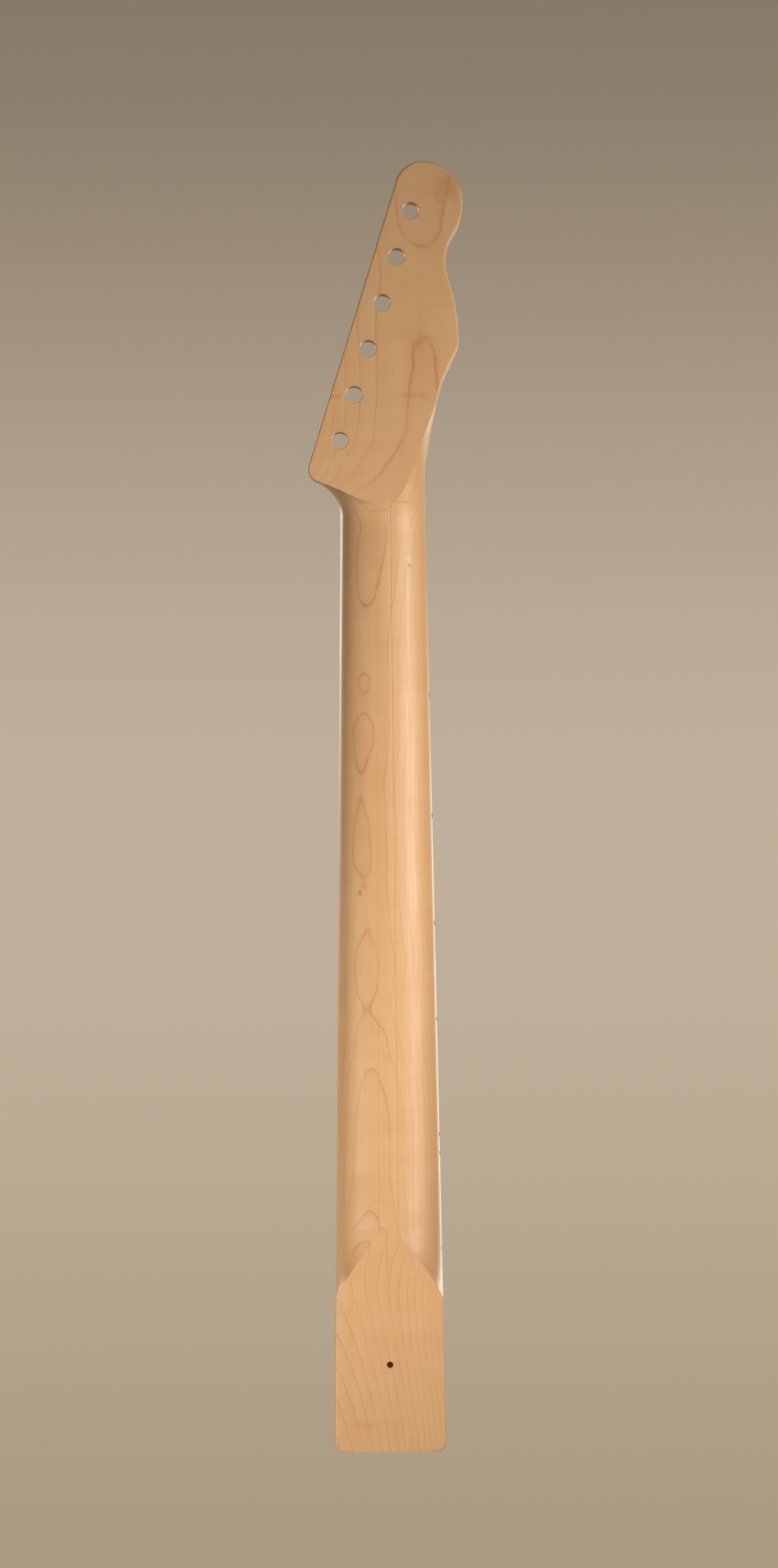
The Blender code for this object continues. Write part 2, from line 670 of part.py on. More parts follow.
def make_nut(parts, tools, material):
    """Nut block with a radiused top and a slot for each string."""
    half = HALF_NUT - NUT_INSET
    foot = BOARD_TOP - NUT_SEAT_DEPTH
    rings = []
    for i in range(BOARD_STEPS + 1):
        x = half * (2 * i / BOARD_STEPS - 1)
        crest = board_top(x) + NUT_HEIGHT - NUT_SEAT_DEPTH
        rings.append([(x, foot, 0), (x, crest, 0), (x, crest - NUT_TOP_FALL, NUT_THICKNESS)])
        rings[-1].append((x, foot, NUT_THICKNESS))
    nut = place(loft("nut", rings), material, parts, (0, 0, NUT_Z))
    cuts = cutter_collection("nut_cuts", tools)
    count = len(STRING_DIAMETERS)
    spread = NUT_WIDTH - 2 * STRING_EDGE_MARGIN
    for number, diameter in enumerate(STRING_DIAMETERS):
        x = spread * (number / (count - 1) - 0.5)
        height = NUT_HEIGHT - NUT_SEAT_DEPTH
        width = diameter + STRING_CLEARANCE
        slot = box(f"string_slot_{number + 1}", (width, height, NUT_THICKNESS + 2 * OVERCUT))
        slot_y = board_top(x) + height - diameter / 2 + height / 2
        cutter(slot, cuts, (x, slot_y, NUT_Z + NUT_THICKNESS / 2))
    cut(nut, cuts)


def make_dots(parts, material):
    """Black dots in the face and along the bass edge."""
    for fret, side in dot_frets():
        name = dot_suffix(fret, side)
        x, y, z, lean = face_dot_place(fret, side)
        face = cylinder(f"face_dot_{name}", FACE_DOT_DIAMETER, FACE_DOT_THICKNESS)
        place(face, material, parts, sunk(x, y, z, lean, FACE_DOT_THICKNESS / 2), (math.pi / 2, 0, -lean))
        edge = cylinder(f"side_dot_{name}", SIDE_DOT_DIAMETER, SIDE_DOT_LENGTH, SMALL_SIDES)
        place(edge, material, parts, side_dot_place(fret, side), (0, math.pi / 2, 0))


def make_block(name, u, parts, tools, material):
    """Brass block that the rod screws through and the bar reaches into."""
    middle = BLOCK_TOP - BLOCK_HEIGHT / 2
    block = box(name, (BLOCK_WIDTH, BLOCK_HEIGHT, BLOCK_LENGTH))
    block.transform(Matrix.Translation((0, middle - ROD_Y, 0)))
    piece = place(block, material, parts, (0, ROD_Y, NUT_Z + u))
    cuts = cutter_collection(name + "_cuts", tools)
    through = BLOCK_LENGTH + 2 * OVERCUT
    bore = cylinder(name + "_bore", ROD_DIAMETER + 2 * FIT, through)
    cutter(bore, cuts, (0, ROD_Y, NUT_Z + u))
    seat = box(name + "_seat", (BAR_WIDTH + 2 * FIT, BAR_THICKNESS + 2 * FIT, through))
    cutter(seat, cuts, (0, bar_y(), NUT_Z + u))
    cut(piece, cuts)


def bar_y():
    """Height of the bar's middle."""
    return ROD_Y - ROD_DIAMETER / 2 - BAR_TO_ROD - BAR_THICKNESS / 2


def make_truss_rod(parts, tools, steel, dark_steel, brass):
    """Rod, nut, bar and blocks of the two-way truss rod."""
    axis = bpy.data.objects.new("truss_rod_axis", None)
    parts.objects.link(axis)
    axis.location = (0, ROD_Y, NUT_Z)
    rod_top = ROD_NUT_FOOT + ROD_SEAT_DEPTH - FIT
    rod = cylinder("truss_rod", ROD_DIAMETER, rod_top - ROD_END)
    place(rod, steel, parts, (0, 0, (rod_top + ROD_END) / 2), parent=axis)
    nut = cylinder("truss_rod_nut", ROD_NUT_DIAMETER, ROD_NUT_LENGTH)
    piece = place(nut, dark_steel, parts, (0, 0, ROD_NUT_FOOT + ROD_NUT_LENGTH / 2), parent=axis)
    cuts = cutter_collection("truss_rod_nut_cuts", tools)
    seat = cylinder("rod_seat", ROD_DIAMETER + 2 * FIT, ROD_SEAT_DEPTH + OVERCUT)
    seat_z = NUT_Z + ROD_NUT_FOOT + (ROD_SEAT_DEPTH - OVERCUT) / 2
    cutter(seat, cuts, (0, ROD_Y, seat_z))
    socket = cylinder("hex_socket", HEX_KEY_SIZE, HEX_SOCKET_DEPTH + OVERCUT, 6, across_flats=True)
    socket_z = NUT_Z + ROD_NUT_REACH - (HEX_SOCKET_DEPTH - OVERCUT) / 2
    cutter(socket, cuts, (0, ROD_Y, socket_z))
    cut(piece, cuts)
    make_block("truss_block_head", HEAD_BLOCK_U, parts, tools, brass)
    make_block("truss_block_heel", HEEL_BLOCK_U, parts, tools, brass)
    inside = BLOCK_LENGTH / 2 - BLOCK_TRAVEL - FIT
    bar_low, bar_high = HEEL_BLOCK_U - inside, HEAD_BLOCK_U + inside
    bar = box("truss_rod_bar", (BAR_WIDTH, BAR_THICKNESS, bar_high - bar_low))
    place(bar, steel, parts, (0, bar_y(), NUT_Z + (bar_low + bar_high) / 2))


def main():
    """Builds the neck in an empty scene."""
    for piece in list(bpy.data.objects):
        bpy.data.objects.remove(piece)
    parts = bpy.data.collections.new("guitar_neck")
    tools = bpy.data.collections.new("cutters")
    tools.hide_render = True
    for collection in (parts, tools):
        bpy.context.scene.collection.children.link(collection)
    maple = finish("satin_maple", (0.66, 0.38, 0.18), 0.45)
    board_maple = finish("board_maple", (0.68, 0.41, 0.20), 0.40)
    bone = finish("bone", (0.80, 0.74, 0.60), 0.35)
    nickel = finish("nickel_silver", (0.72, 0.70, 0.65), 0.25, 1.0)
    black = finish("black_dot", (0.015, 0.014, 0.013), 0.40)
    steel = finish("steel", (0.56, 0.57, 0.58), 0.35, 1.0)
    dark_steel = finish("blackened_steel", (0.08, 0.08, 0.085), 0.45, 1.0)
    brass = finish("brass", (0.72, 0.52, 0.22), 0.30, 1.0)
    make_blank(parts, tools, maple)
    make_board(parts, tools, board_maple)
    make_nut(parts, tools, bone)
    make_frets(parts, nickel)
    make_dots(parts, black)
    make_truss_rod(parts, tools, steel, dark_steel, brass)


main()
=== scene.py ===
"""Looks of a bare maple guitar neck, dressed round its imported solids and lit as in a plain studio.

The neck stands upright with its back to the camera. All lengths are in metres, in the frame of the
solids: +Z runs up to the headstock, the back faces -Y, and the side dots are at +X. Along the neck,
places are given as u, the distance past the fingerboard side of the nut towards the headstock.
"""

from __future__ import annotations

import logging
import math
from dataclasses import dataclass, replace
from enum import Enum

import bmesh
import bpy
from mathutils import Matrix, Vector
from mathutils.geometry import intersect_point_line
from mathutils.kdtree import KDTree

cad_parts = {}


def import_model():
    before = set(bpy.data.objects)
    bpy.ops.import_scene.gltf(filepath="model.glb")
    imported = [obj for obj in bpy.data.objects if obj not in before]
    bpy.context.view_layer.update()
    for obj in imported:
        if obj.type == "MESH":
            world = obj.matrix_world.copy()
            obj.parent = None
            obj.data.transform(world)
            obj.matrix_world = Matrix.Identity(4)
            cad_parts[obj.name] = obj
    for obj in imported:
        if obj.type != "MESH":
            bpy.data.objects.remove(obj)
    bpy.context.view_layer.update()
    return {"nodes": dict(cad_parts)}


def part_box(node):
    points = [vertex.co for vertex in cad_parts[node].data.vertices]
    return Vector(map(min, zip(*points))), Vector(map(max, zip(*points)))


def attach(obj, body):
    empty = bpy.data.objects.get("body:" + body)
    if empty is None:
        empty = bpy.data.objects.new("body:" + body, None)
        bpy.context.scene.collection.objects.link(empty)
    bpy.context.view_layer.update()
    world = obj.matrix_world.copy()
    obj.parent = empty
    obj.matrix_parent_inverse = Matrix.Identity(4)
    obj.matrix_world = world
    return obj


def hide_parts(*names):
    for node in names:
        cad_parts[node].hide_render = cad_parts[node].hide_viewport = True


LOG = logging.getLogger("guitar_neck")
HEAD_LENGTH = 0.1819
IMAGE_HEIGHT = 2419
MM = 0.001
MATH = "ShaderNodeMath"
ABSOLUTE = {"operation": "ABSOLUTE"}
ADD = {"operation": "ADD"}
COSINE = {"operation": "COSINE"}
DIVIDE = {"operation": "DIVIDE"}
MAXIMUM = {"operation": "MAXIMUM"}
MINIMUM = {"operation": "MINIMUM"}
MULTIPLY = {"operation": "MULTIPLY"}
MULTIPLY_ADD = {"operation": "MULTIPLY_ADD"}
POWER = {"operation": "POWER"}
SINE = {"operation": "SINE"}
SUBTRACT = {"operation": "SUBTRACT"}
BLEND_COLOURS = {"data_type": "RGBA"}
SMOOTH_STEP = {"interpolation_type": "SMOOTHSTEP"}
SHARP_ANGLE = math.radians(32)
SMALL_SHARP_ANGLE = math.radians(40)

# Steps in from a rounded edge, as shares of its radius: close together where the round is steep
EDGE_SHARES = (0.04, 0.12, 0.25, 0.42, 0.68, 1.0)
TIP_SHARES = (0.02, 0.08, 0.2, 0.4, 0.7, 1.0)


def linear(colour: str) -> tuple[float, float, float, float]:
    """Turns an sRGB hex colour into a linear one.

    Args:
        colour: Six hex digits after a hash.

    Returns:
        Linear red, green, blue and an alpha of one.
    """
    channels = [int(colour[i:i + 2], 16) / 255 for i in (1, 3, 5)]
    straight = [c / 12.92 if c <= 0.04045 else ((c + 0.055) / 1.055) ** 2.4 for c in channels]
    return (*straight, 1.0)


def dimmed(colour: tuple[float, ...], share: float) -> tuple[float, ...]:
    """A linear colour with its light cut to a share."""
    return (*[channel * share for channel in colour[:3]], 1.0)


def eased(share: float) -> float:
    """Smooth step from 0 to 1.

    Args:
        share: Place on the step.

    Returns:
        Height of the step.
    """
    share = min(max(share, 0.0), 1.0)
    return share * share * (3 - 2 * share)


def smooth_curve(points: list[tuple[float, float]], at: float) -> float:
    """Height of a cubic curve through points, without overshoot between them.

    Args:
        points: (place, height) pairs in rising order of place.
        at: Place to read the curve at.

    Returns:
        Height of the curve there.
    """
    places = [p[0] for p in points]
    heights = [p[1] for p in points]
    slopes = [(heights[i + 1] - heights[i]) / (places[i + 1] - places[i]) for i in range(len(points) - 1)]
    tangents = [slopes[0]]
    for before, after in zip(slopes, slopes[1:]):
        level = before * after <= 0
        tangents.append(0.0 if level else 2 * before * after / (before + after))
    tangents.append(slopes[-1])
    i = max(k for k in range(len(points) - 1) if k == 0 or places[k] <= at)
    gap = places[i + 1] - places[i]
    t = min(max((at - places[i]) / gap, 0.0), 1.0)
    start = heights[i] * (1 + 2 * t) * (1 - t) ** 2 + gap * tangents[i] * t * (1 - t) ** 2
    return start + heights[i + 1] * t * t * (3 - 2 * t) + gap * tangents[i + 1] * t * t * (t - 1)


def spaced(start: float, end: float, step: float) -> list[float]:
    """Places from start up to, but not including, end, about a step apart.

    Args:
        start: First place.
        end: End of the stretch.
        step: Largest gap.

    Returns:
        The places.
    """
    count = max(int(math.ceil((end - start) / step)), 1)
    return [start + (end - start) * i / count for i in range(count)]


class NodeTree:
    """A shader or geometry node tree that grows by one small function."""

    def __init__(self, tree: bpy.types.NodeTree) -> None:
        """Keeps the tree and empties it."""
        self.tree = tree
        self.tree.nodes.clear()

    def add(self, kind: str, settings: dict | None = None, **links: object) -> bpy.types.Node:
        """Adds a node with its settings and links.

        Args:
            kind: Node type name.
            settings: Properties of the node.
            **links: Input by name, or by number as in i0, with a value, socket or node.

        Returns:
            The new node.
        """
        node = self.tree.nodes.new(kind)
        for name, value in (settings or {}).items():
            setattr(node, name, value)
        for name, value in links.items():
            by_number = name[0] == "i" and name[1:].isdigit()
            socket = node.inputs[int(name[1:])] if by_number else node.inputs[name.replace("_", " ")]
            if isinstance(value, bpy.types.Node):
                value = value.outputs[0]
            if isinstance(value, bpy.types.NodeSocket):
                self.tree.links.new(value, socket)
            else:
                socket.default_value = value
        return node


def started(name: str, colour: str) -> tuple[bpy.types.Material, NodeTree, bpy.types.NodeSocket]:
    """Starts a material of nodes.

    Args:
        name: Name of the material.
        colour: sRGB hex colour that stands for it in a plain view.

    Returns:
        The material, its tree and the place on the object.
    """
    material = bpy.data.materials.new(name)
    material.use_nodes = True
    material.diffuse_color = linear(colour)
    tree = NodeTree(material.node_tree)
    return material, tree, tree.add("ShaderNodeTexCoord").outputs["Object"]


@dataclass
class NeckShape:
    """Rule of the neck's form: taper, radius, round back, heel, headstock and their carved runs."""

    nut_z: float
    heel_end_z: float
    tip_z: float
    scale_length: float = 0.6477
    fret_count: int = 21
    nut_width: float = 0.0430
    heel_width: float = 0.0565
    board_radius: float = 0.2413
    board_thickness: float = 0.00635
    first_fret_thickness: float = 0.0210
    twelfth_fret_thickness: float = 0.0235
    heel_thickness: float = 0.0254
    heel_corner_radius: float = 0.0050
    heel_flat_length: float = 0.0770
    heel_blend_length: float = 0.0390
    heel_rise_length: float = 0.0270
    heel_blend_power: float = 1.2
    back_fullness: float = 2.1
    head_thickness: float = 0.0143
    head_drop: float = 0.0087
    ramp_radius: float = 0.0200
    ramp_start: float = 0.0050
    head_rise_length: float = 0.0150
    head_rise_power: float = 2.0
    head_blend_start: float = 0.0095
    tuner_side_blend: float = 0.0110
    plain_side_blend: float = 0.0505
    tuner_blend_power: float = 0.45
    plain_blend_power: float = 0.35
    tuner_edge_angle: float = math.radians(17.56)
    tuner_edge_at_nut: float = 0.0466
    scoop_start: float = 0.0038
    scoop_radius: float = 0.0184
    ear_radius: float = 0.0065
    tip_crest: float = 0.0213
    bulb_radius: float = 0.0203
    least_split: float = 0.18
    least_side_angle: float = math.radians(0.8)
    plain_sweep: tuple[tuple[float, float], ...] = (
        (0.0150, 0.0001), (0.0280, 0.0006), (0.0430, 0.0026),
        (0.0590, 0.0059), (0.0710, 0.0092), (0.0800, 0.0132),
    )
    plain_horn: tuple[tuple[float, float], ...] = (
        (0.0870, 0.0381), (0.0887, 0.0388), (0.0902, 0.0390), (0.0980, 0.0388),
        (0.1080, 0.0377), (0.1160, 0.0360), (0.1230, 0.0341), (0.1270, 0.0330),
        (0.1310, 0.0327), (0.1360, 0.0332), (0.1400, 0.0343), (0.1435, 0.0359),
        (0.1465, 0.0376), (0.1500, 0.0394), (0.1540, 0.0407), (0.1575, 0.0414),
    )

    def __post_init__(self) -> None:
        """Works out the sizes that follow from the others."""
        self.length = self.nut_z - self.heel_end_z
        self.head_length = self.tip_z - self.nut_z
        self.board_top_y = self.heel_thickness
        self.board_bottom_y = self.heel_thickness - self.board_thickness
        self.front_y = self.board_bottom_y
        self.head_face_y = self.board_top_y - self.head_drop
        self.head_back_y = self.head_face_y - self.head_thickness
        self.half_nut = self.nut_width / 2
        inner = max(self.ramp_radius - self.head_drop, 0.0)
        self.ramp_foot = self.ramp_start + math.sqrt(self.ramp_radius ** 2 - inner ** 2)
        self.sine = math.sin(self.tuner_edge_angle)
        self.cosine = math.cos(self.tuner_edge_angle)
        self.slope = self.sine / self.cosine
        reach = self.tip_crest + self.tuner_edge_at_nut - self.slope * self.head_length
        self.tip_radius = reach * self.cosine / (1 - self.sine)
        self.tip_u = self.head_length - self.tip_radius
        self.scoop_x = -self.half_nut - self.scoop_radius
        offset = -self.tuner_edge_at_nut + self.ear_radius / self.cosine - self.scoop_x
        a = 1 + self.slope ** 2
        b = 2 * (self.slope * offset - self.scoop_start)
        c = offset ** 2 + self.scoop_start ** 2 - (self.scoop_radius + self.ear_radius) ** 2
        self.ear_u = (-b + math.sqrt(max(b * b - 4 * a * c, 0.0))) / (2 * a)
        self.ear_x = self.scoop_x + offset + self.slope * self.ear_u
        share = self.scoop_radius / (self.scoop_radius + self.ear_radius)
        self.ear_start = self.scoop_start + (self.ear_u - self.scoop_start) * share
        self.ear_end = self.ear_u + self.ear_radius * self.sine
        self.edge_end = self.tip_u + self.tip_radius * self.sine
        bulb = (self.head_length - self.bulb_radius, self.tip_crest + self.bulb_radius)
        sweep = [(u, self.half_nut + past) for u, past in self.plain_sweep]
        self.plain = [(0.0, self.half_nut), *sweep, *self.plain_horn, bulb]
        self.heel_line = self.heel_flat_length + self.heel_blend_length - self.length

    def fret_u(self, number: int) -> float:
        """Place of a fret along the neck."""
        return -self.scale_length * (1 - 2 ** (-number / 12))

    def between_frets(self, number: int) -> float:
        """Middle of the space behind a fret, where its dot sits."""
        return (self.fret_u(number) + self.fret_u(number - 1)) / 2

    def board_half(self, u: float) -> float:
        """Half the width along the fingerboard, with the heel's round corners.

        Args:
            u: Place along the neck.

        Returns:
            Half the width.
        """
        share = max(-u, 0.0) / self.length
        half = self.half_nut + (self.heel_width - self.nut_width) / 2 * share
        into_corner = self.heel_corner_radius - (u + self.length)
        if into_corner > 0:
            arc = math.sqrt(max(self.heel_corner_radius ** 2 - into_corner ** 2, 0.0))
            half -= self.heel_corner_radius - arc
        return half

    def board_top(self, x: float) -> float:
        """Height of the radiused playing surface at x."""
        return self.board_top_y - self.board_radius + math.sqrt(self.board_radius ** 2 - x ** 2)

    def ramp_y(self, u: float) -> float:
        """Front surface of the round ramp from the board down to the headstock face."""
        back = min(max(self.ramp_foot - u, 0.0), self.ramp_radius)
        return self.head_face_y + self.ramp_radius - math.sqrt(self.ramp_radius ** 2 - back ** 2)

    def tuner_edge(self, u: float) -> float:
        """X of the headstock's edge at the tuner side.

        Args:
            u: Place along the neck.

        Returns:
            X of the edge.
        """
        if u <= self.scoop_start:
            return -self.half_nut
        if u <= self.ear_start:
            return self.scoop_x + math.sqrt(self.scoop_radius ** 2 - (u - self.scoop_start) ** 2)
        if u <= self.ear_end:
            return self.ear_x - math.sqrt(max(self.ear_radius ** 2 - (u - self.ear_u) ** 2, 0.0))
        if u <= self.edge_end:
            return -self.tuner_edge_at_nut + self.slope * u
        return self.tip_crest - math.sqrt(max(self.tip_radius ** 2 - (u - self.tip_u) ** 2, 0.0))

    def plain_edge(self, u: float) -> float:
        """X of the headstock's edge at the plain side.

        Args:
            u: Place along the neck.

        Returns:
            X of the edge.
        """
        past = u - (self.head_length - self.bulb_radius)
        if past > 0:
            return self.tip_crest + math.sqrt(max(self.bulb_radius ** 2 - past ** 2, 0.0))
        return smooth_curve(self.plain, u)

    def spine_x(self, u: float) -> float:
        """X that a section's two halves meet at.

        Args:
            u: Place along the neck.

        Returns:
            X of the spine.
        """
        past_blend = u - self.head_blend_start - self.plain_side_blend
        if past_blend <= 0:
            return 0.0
        middle = (self.plain_edge(u) + self.tuner_edge(u)) / 2
        return eased(past_blend / self.plain_side_blend) * middle

    def half_width(self, u: float, plain_side: bool) -> float:
        """Width from the spine to the edge on one side.

        Args:
            u: Place along the neck.
            plain_side: True for the side at +X.

        Returns:
            The width.
        """
        if u < 0:
            return self.board_half(u)
        return self.plain_edge(u) - self.spine_x(u) if plain_side else self.spine_x(u) - self.tuner_edge(u)

    def depth(self, u: float) -> float:
        """Depth of the back behind the blank's front face.

        Args:
            u: Place along the neck.

        Returns:
            The depth.
        """
        first, twelfth = self.fret_u(1), self.fret_u(12)
        per_length = (self.twelfth_fret_thickness - self.first_fret_thickness) / (first - twelfth)
        thickness = self.first_fret_thickness + (first - u) * per_length
        depth = thickness - self.board_top_y + self.front_y
        to_heel = eased((self.heel_line + self.heel_rise_length - u) / self.heel_rise_length)
        rise = (u - self.head_blend_start) / self.head_rise_length + 1
        to_head = min(max(rise, 0.0), 1.0) ** self.head_rise_power
        depth += to_heel * (self.front_y - depth)
        return depth + to_head * (self.front_y - self.head_back_y - depth)

    def flat_share(self, u: float, plain_side: bool) -> float:
        """Share of the half width that the flat back takes.

        Args:
            u: Place along the neck.
            plain_side: True for the side at +X.

        Returns:
            The share, 0 on the round shaft.
        """
        if u < self.heel_line:
            into = min((self.heel_line - u) / self.heel_blend_length, 1.0)
            return 1 - (1 - into) ** self.heel_blend_power
        if u > self.head_blend_start:
            length = self.plain_side_blend if plain_side else self.tuner_side_blend
            into = min((u - self.head_blend_start) / length, 1.0)
            return into ** (self.plain_blend_power if plain_side else self.tuner_blend_power)
        return 0.0

    def side(self, u: float, plain_side: bool, side_steps: int, flat_steps: int, edge: float) -> list:
        """Points down one side of a section and in over its back.

        Args:
            u: Place of the section.
            plain_side: True for the side at +X.
            side_steps: Steps down the side.
            flat_steps: Steps over the flat back.
            edge: Width of the strip along the back's edge that gets closer points.

        Returns:
            (distance from the spine, y) pairs.
        """
        half = self.half_width(u, plain_side)
        deepest = self.depth(u)
        flat = self.flat_share(u, plain_side)
        split = max(flat, self.least_split)
        angle = max(math.acos(split ** (self.back_fullness / 2)), self.least_side_angle)
        power = 2 / self.back_fullness
        rounded = deepest * math.sin(angle) ** power
        at_split = deepest if flat > self.least_split else rounded
        front = self.front_y - min(self.ramp_y(u), self.front_y)
        start = math.asin(min((front / at_split) ** (1 / power) * math.sin(angle), 1.0))
        points = []
        for i in range(side_steps + 1):
            turn = start + (angle - start) * i / side_steps
            down = at_split * (math.sin(turn) / math.sin(angle)) ** power
            points.append((half * math.cos(turn) ** power, self.front_y - down))
        inner = half * math.cos(angle) ** power
        strip = min(edge, inner / 2)
        acrosses = [inner - strip * share for share in EDGE_SHARES]
        acrosses += [(inner - strip) * (1 - i / flat_steps) for i in range(1, flat_steps)]
        for across in acrosses:
            down = deepest
            if flat <= self.least_split:
                down = deepest * (1 - (across / half) ** self.back_fullness) ** power
            points.append((across, self.front_y - down))
        return points

    def back_y(self, u: float, x: float) -> float:
        """Height of the back surface at a point of the round shaft or of the flats.

        Args:
            u: Place along the neck.
            x: Place across the neck.

        Returns:
            Y of the back.
        """
        half = max(self.half_width(u, x > 0), 1e-6)
        share = min(abs(x - self.spine_x(u)) / half, 1.0)
        flat = self.flat_share(u, x > 0)
        if share < flat:
            return self.front_y - self.depth(u)
        return self.front_y - self.depth(u) * (1 - share ** self.back_fullness) ** (1 / self.back_fullness)

    def plan(self, step: float) -> list[tuple[float, float]]:
        """Outline of the whole neck seen from the back, as (x, z) points a step apart.

        Args:
            step: Gap between the points.

        Returns:
            The points in order.
        """
        rows = spaced(-self.length + self.heel_corner_radius, self.edge_end, step)
        corner = [math.radians(a) for a in range(0, 90, 4)]
        ends = [self.heel_corner_radius * (1 - math.cos(a)) - self.length for a in corner]
        tip = self.head_length - self.edge_end
        tips = [self.edge_end + tip * math.sin(math.radians(a)) for a in range(0, 91, 2)]
        rows = [*ends, *rows, *tips]
        left = [(-self.board_half(u) if u < 0 else self.tuner_edge(u), self.nut_z + u) for u in rows]
        right = [(self.board_half(u) if u < 0 else self.plain_edge(u), self.nut_z + u) for u in rows]
        return [*left, *reversed(right)]


class Finish(Enum):
    """Finishes of the pieces made here."""

    NECK = "neck_maple"
    BOARD = "board_maple"
    BONE = "bone"
    FRETWIRE = "fretwire"
    DOT = "black_dot"


@dataclass(frozen=True)
class Blot:
    """A soft mark in the wood: a knot speck, a stain or a mineral streak."""

    x: float
    u: float
    half_x: float
    half_u: float
    colour: str
    strength: float


@dataclass(frozen=True)
class Pattern:
    """A noise in the wood, by the size of its blobs in mm across and along the grain."""

    across_mm: float
    along_mm: float
    detail: float
    roughness: float = 0.5
    signed: bool = False


# Wave and ripple bend the rings, and fade lets their lines come and go. Real fibres are finer than
# 0.1 mm: these are drawn coarser, so that they show. Curl crosses the grain in faint soft bands, and
# flecks are the short dashes of the rays.
PATTERNS = {
    "wave": Pattern(16, 38, 1.0, signed=True),
    "ripple": Pattern(5, 9, 2.0, 0.55, signed=True),
    "fade": Pattern(14, 30, 2.0),
    "fibre": Pattern(0.7, 40, 3.0, 0.6),
    "broad": Pattern(6, 90, 2.0),
    "curl": Pattern(26, 11, 2.0, 0.6),
    "fleck": Pattern(0.9, 3.2, 1.0),
}


@dataclass(frozen=True)
class Maple:
    """Hard maple, planed, sanded and left bare: pale, close-grained, with thin late-wood lines.

    The growth rings are curved sheets, so the carved back cuts them into long lines and closed loops.
    Their field is y plus the square of the distance from a ridge over twice the ring radius, plus a
    height that drifts along the neck, and a line shows where it passes a whole number of rings.
    """

    name: str
    pale: str = "#DDB07F"
    warm: str = "#D2A06C"
    line: str = "#B9783F"
    roughness: float = 0.46
    ring_radius_mm: float = 76.0
    ring_spacing_mm: float = 3.3
    ridge: tuple[tuple[float, float], ...] = ((-500, -10), (250, 5))
    height: tuple[tuple[float, float], ...] = ((-500, 0), (250, 0))
    line_width_mm: float = 0.10
    line_strength: float = 0.62
    halo_widths: float = 4.0
    halo_strength: float = 0.30
    wobble_mm: float = 0.30
    ripple_share: float = 0.28
    fibre_share: float = 0.30
    broad_share: float = 0.35
    curl_share: float = 0.45
    late_share: float = 0.10
    fleck_strength: float = 0.16
    relief_mm: float = 0.06
    blots: tuple[Blot, ...] = ()

    def curve(self, tree: NodeTree, place: object, points: tuple, start: float,
              end: float) -> bpy.types.Node:
        """Adds a drawn curve that gives a size in mm for each place along the neck.

        Args:
            tree: Tree to add to.
            place: Socket with the place along the neck in mm.
            points: (place, size) pairs.
            start: Place at the curve's left end.
            end: Place at the curve's right end.

        Returns:
            Node with the size in mm.
        """
        low = min(size for _, size in points) - 1
        high = max(size for _, size in points) + 1
        share = tree.add("ShaderNodeMapRange", i0=place, i1=start, i2=end, i3=0.0, i4=1.0)
        drawn = tree.add("ShaderNodeFloatCurve", Value=share)
        line = drawn.mapping.curves[0]
        while len(line.points) < len(points):
            line.points.new(0.5, 0.5)
        for point, (at, size) in zip(line.points, points):
            point.location = ((at - start) / (end - start), (size - low) / (high - low))
            point.handle_type = "AUTO_CLAMPED"
        drawn.mapping.update()
        return tree.add("ShaderNodeMapRange", i0=drawn, i1=0.0, i2=1.0, i3=low, i4=high)

    def rings(self, tree: NodeTree, mm: object, noises: dict[str, bpy.types.Node]) -> bpy.types.Node:
        """Adds the ring field.

        Args:
            tree: Tree to add to.
            mm: Place on the wood, in mm from the nut.
            noises: Noise of each pattern.

        Returns:
            Node that counts the rings up to each point.
        """
        add = tree.add
        x, y, u = add("ShaderNodeSeparateXYZ", i0=mm).outputs
        drift = add(MATH, MULTIPLY, i0=noises["wave"], i1=self.wobble_mm)
        drift = add(MATH, MULTIPLY_ADD, i0=noises["ripple"], i1=self.wobble_mm * self.ripple_share, i2=drift)
        start = min(self.ridge[0][0], self.height[0][0])
        end = max(self.ridge[-1][0], self.height[-1][0])
        ridge, height = [self.curve(tree, u, points, start, end) for points in (self.ridge, self.height)]
        aside = add(MATH, SUBTRACT, i0=x, i1=ridge)
        square = add(MATH, MULTIPLY, i0=aside, i1=aside)
        bow = add(MATH, DIVIDE, i0=square, i1=2 * self.ring_radius_mm)
        bowed = add(MATH, ADD, i0=y, i1=bow)
        lifted = add(MATH, ADD, i0=height, i1=drift)
        level = add(MATH, ADD, i0=bowed, i1=lifted)
        return add(MATH, DIVIDE, i0=level, i1=self.ring_spacing_mm)

    def lines(self, tree: NodeTree, into: object, fade: object) -> bpy.types.Node:
        """Adds the thin line at the end of each ring, with a soft halo, fading in and out as it runs.

        Args:
            tree: Tree to add to.
            into: Share of the ring passed.
            fade: Noise that the lines come and go by.

        Returns:
            Node with the line's strength.
        """
        add = tree.add
        past_middle = add(MATH, SUBTRACT, i0=into, i1=0.5)
        from_middle = add(MATH, ABSOLUTE, i0=past_middle)
        to_line = add(MATH, SUBTRACT, i0=0.5, i1=from_middle)
        off_line = add(MATH, MULTIPLY, i0=to_line, i1=self.ring_spacing_mm)
        width = self.line_width_mm
        line = add("ShaderNodeMapRange", SMOOTH_STEP, i0=off_line, i1=width * 0.2, i2=width, i3=1.0, i4=0.0)
        halo = add("ShaderNodeMapRange", SMOOTH_STEP, i0=off_line, i1=0.0, i2=width * self.halo_widths,
                   i3=self.halo_strength, i4=0.0)
        drawn = add(MATH, MAXIMUM, i0=line, i1=halo)
        fading = add("ShaderNodeMapRange", i0=fade, i1=0.32, i2=0.62, i3=0.35, i4=1.0)
        return add(MATH, MULTIPLY, i0=drawn, i1=fading)

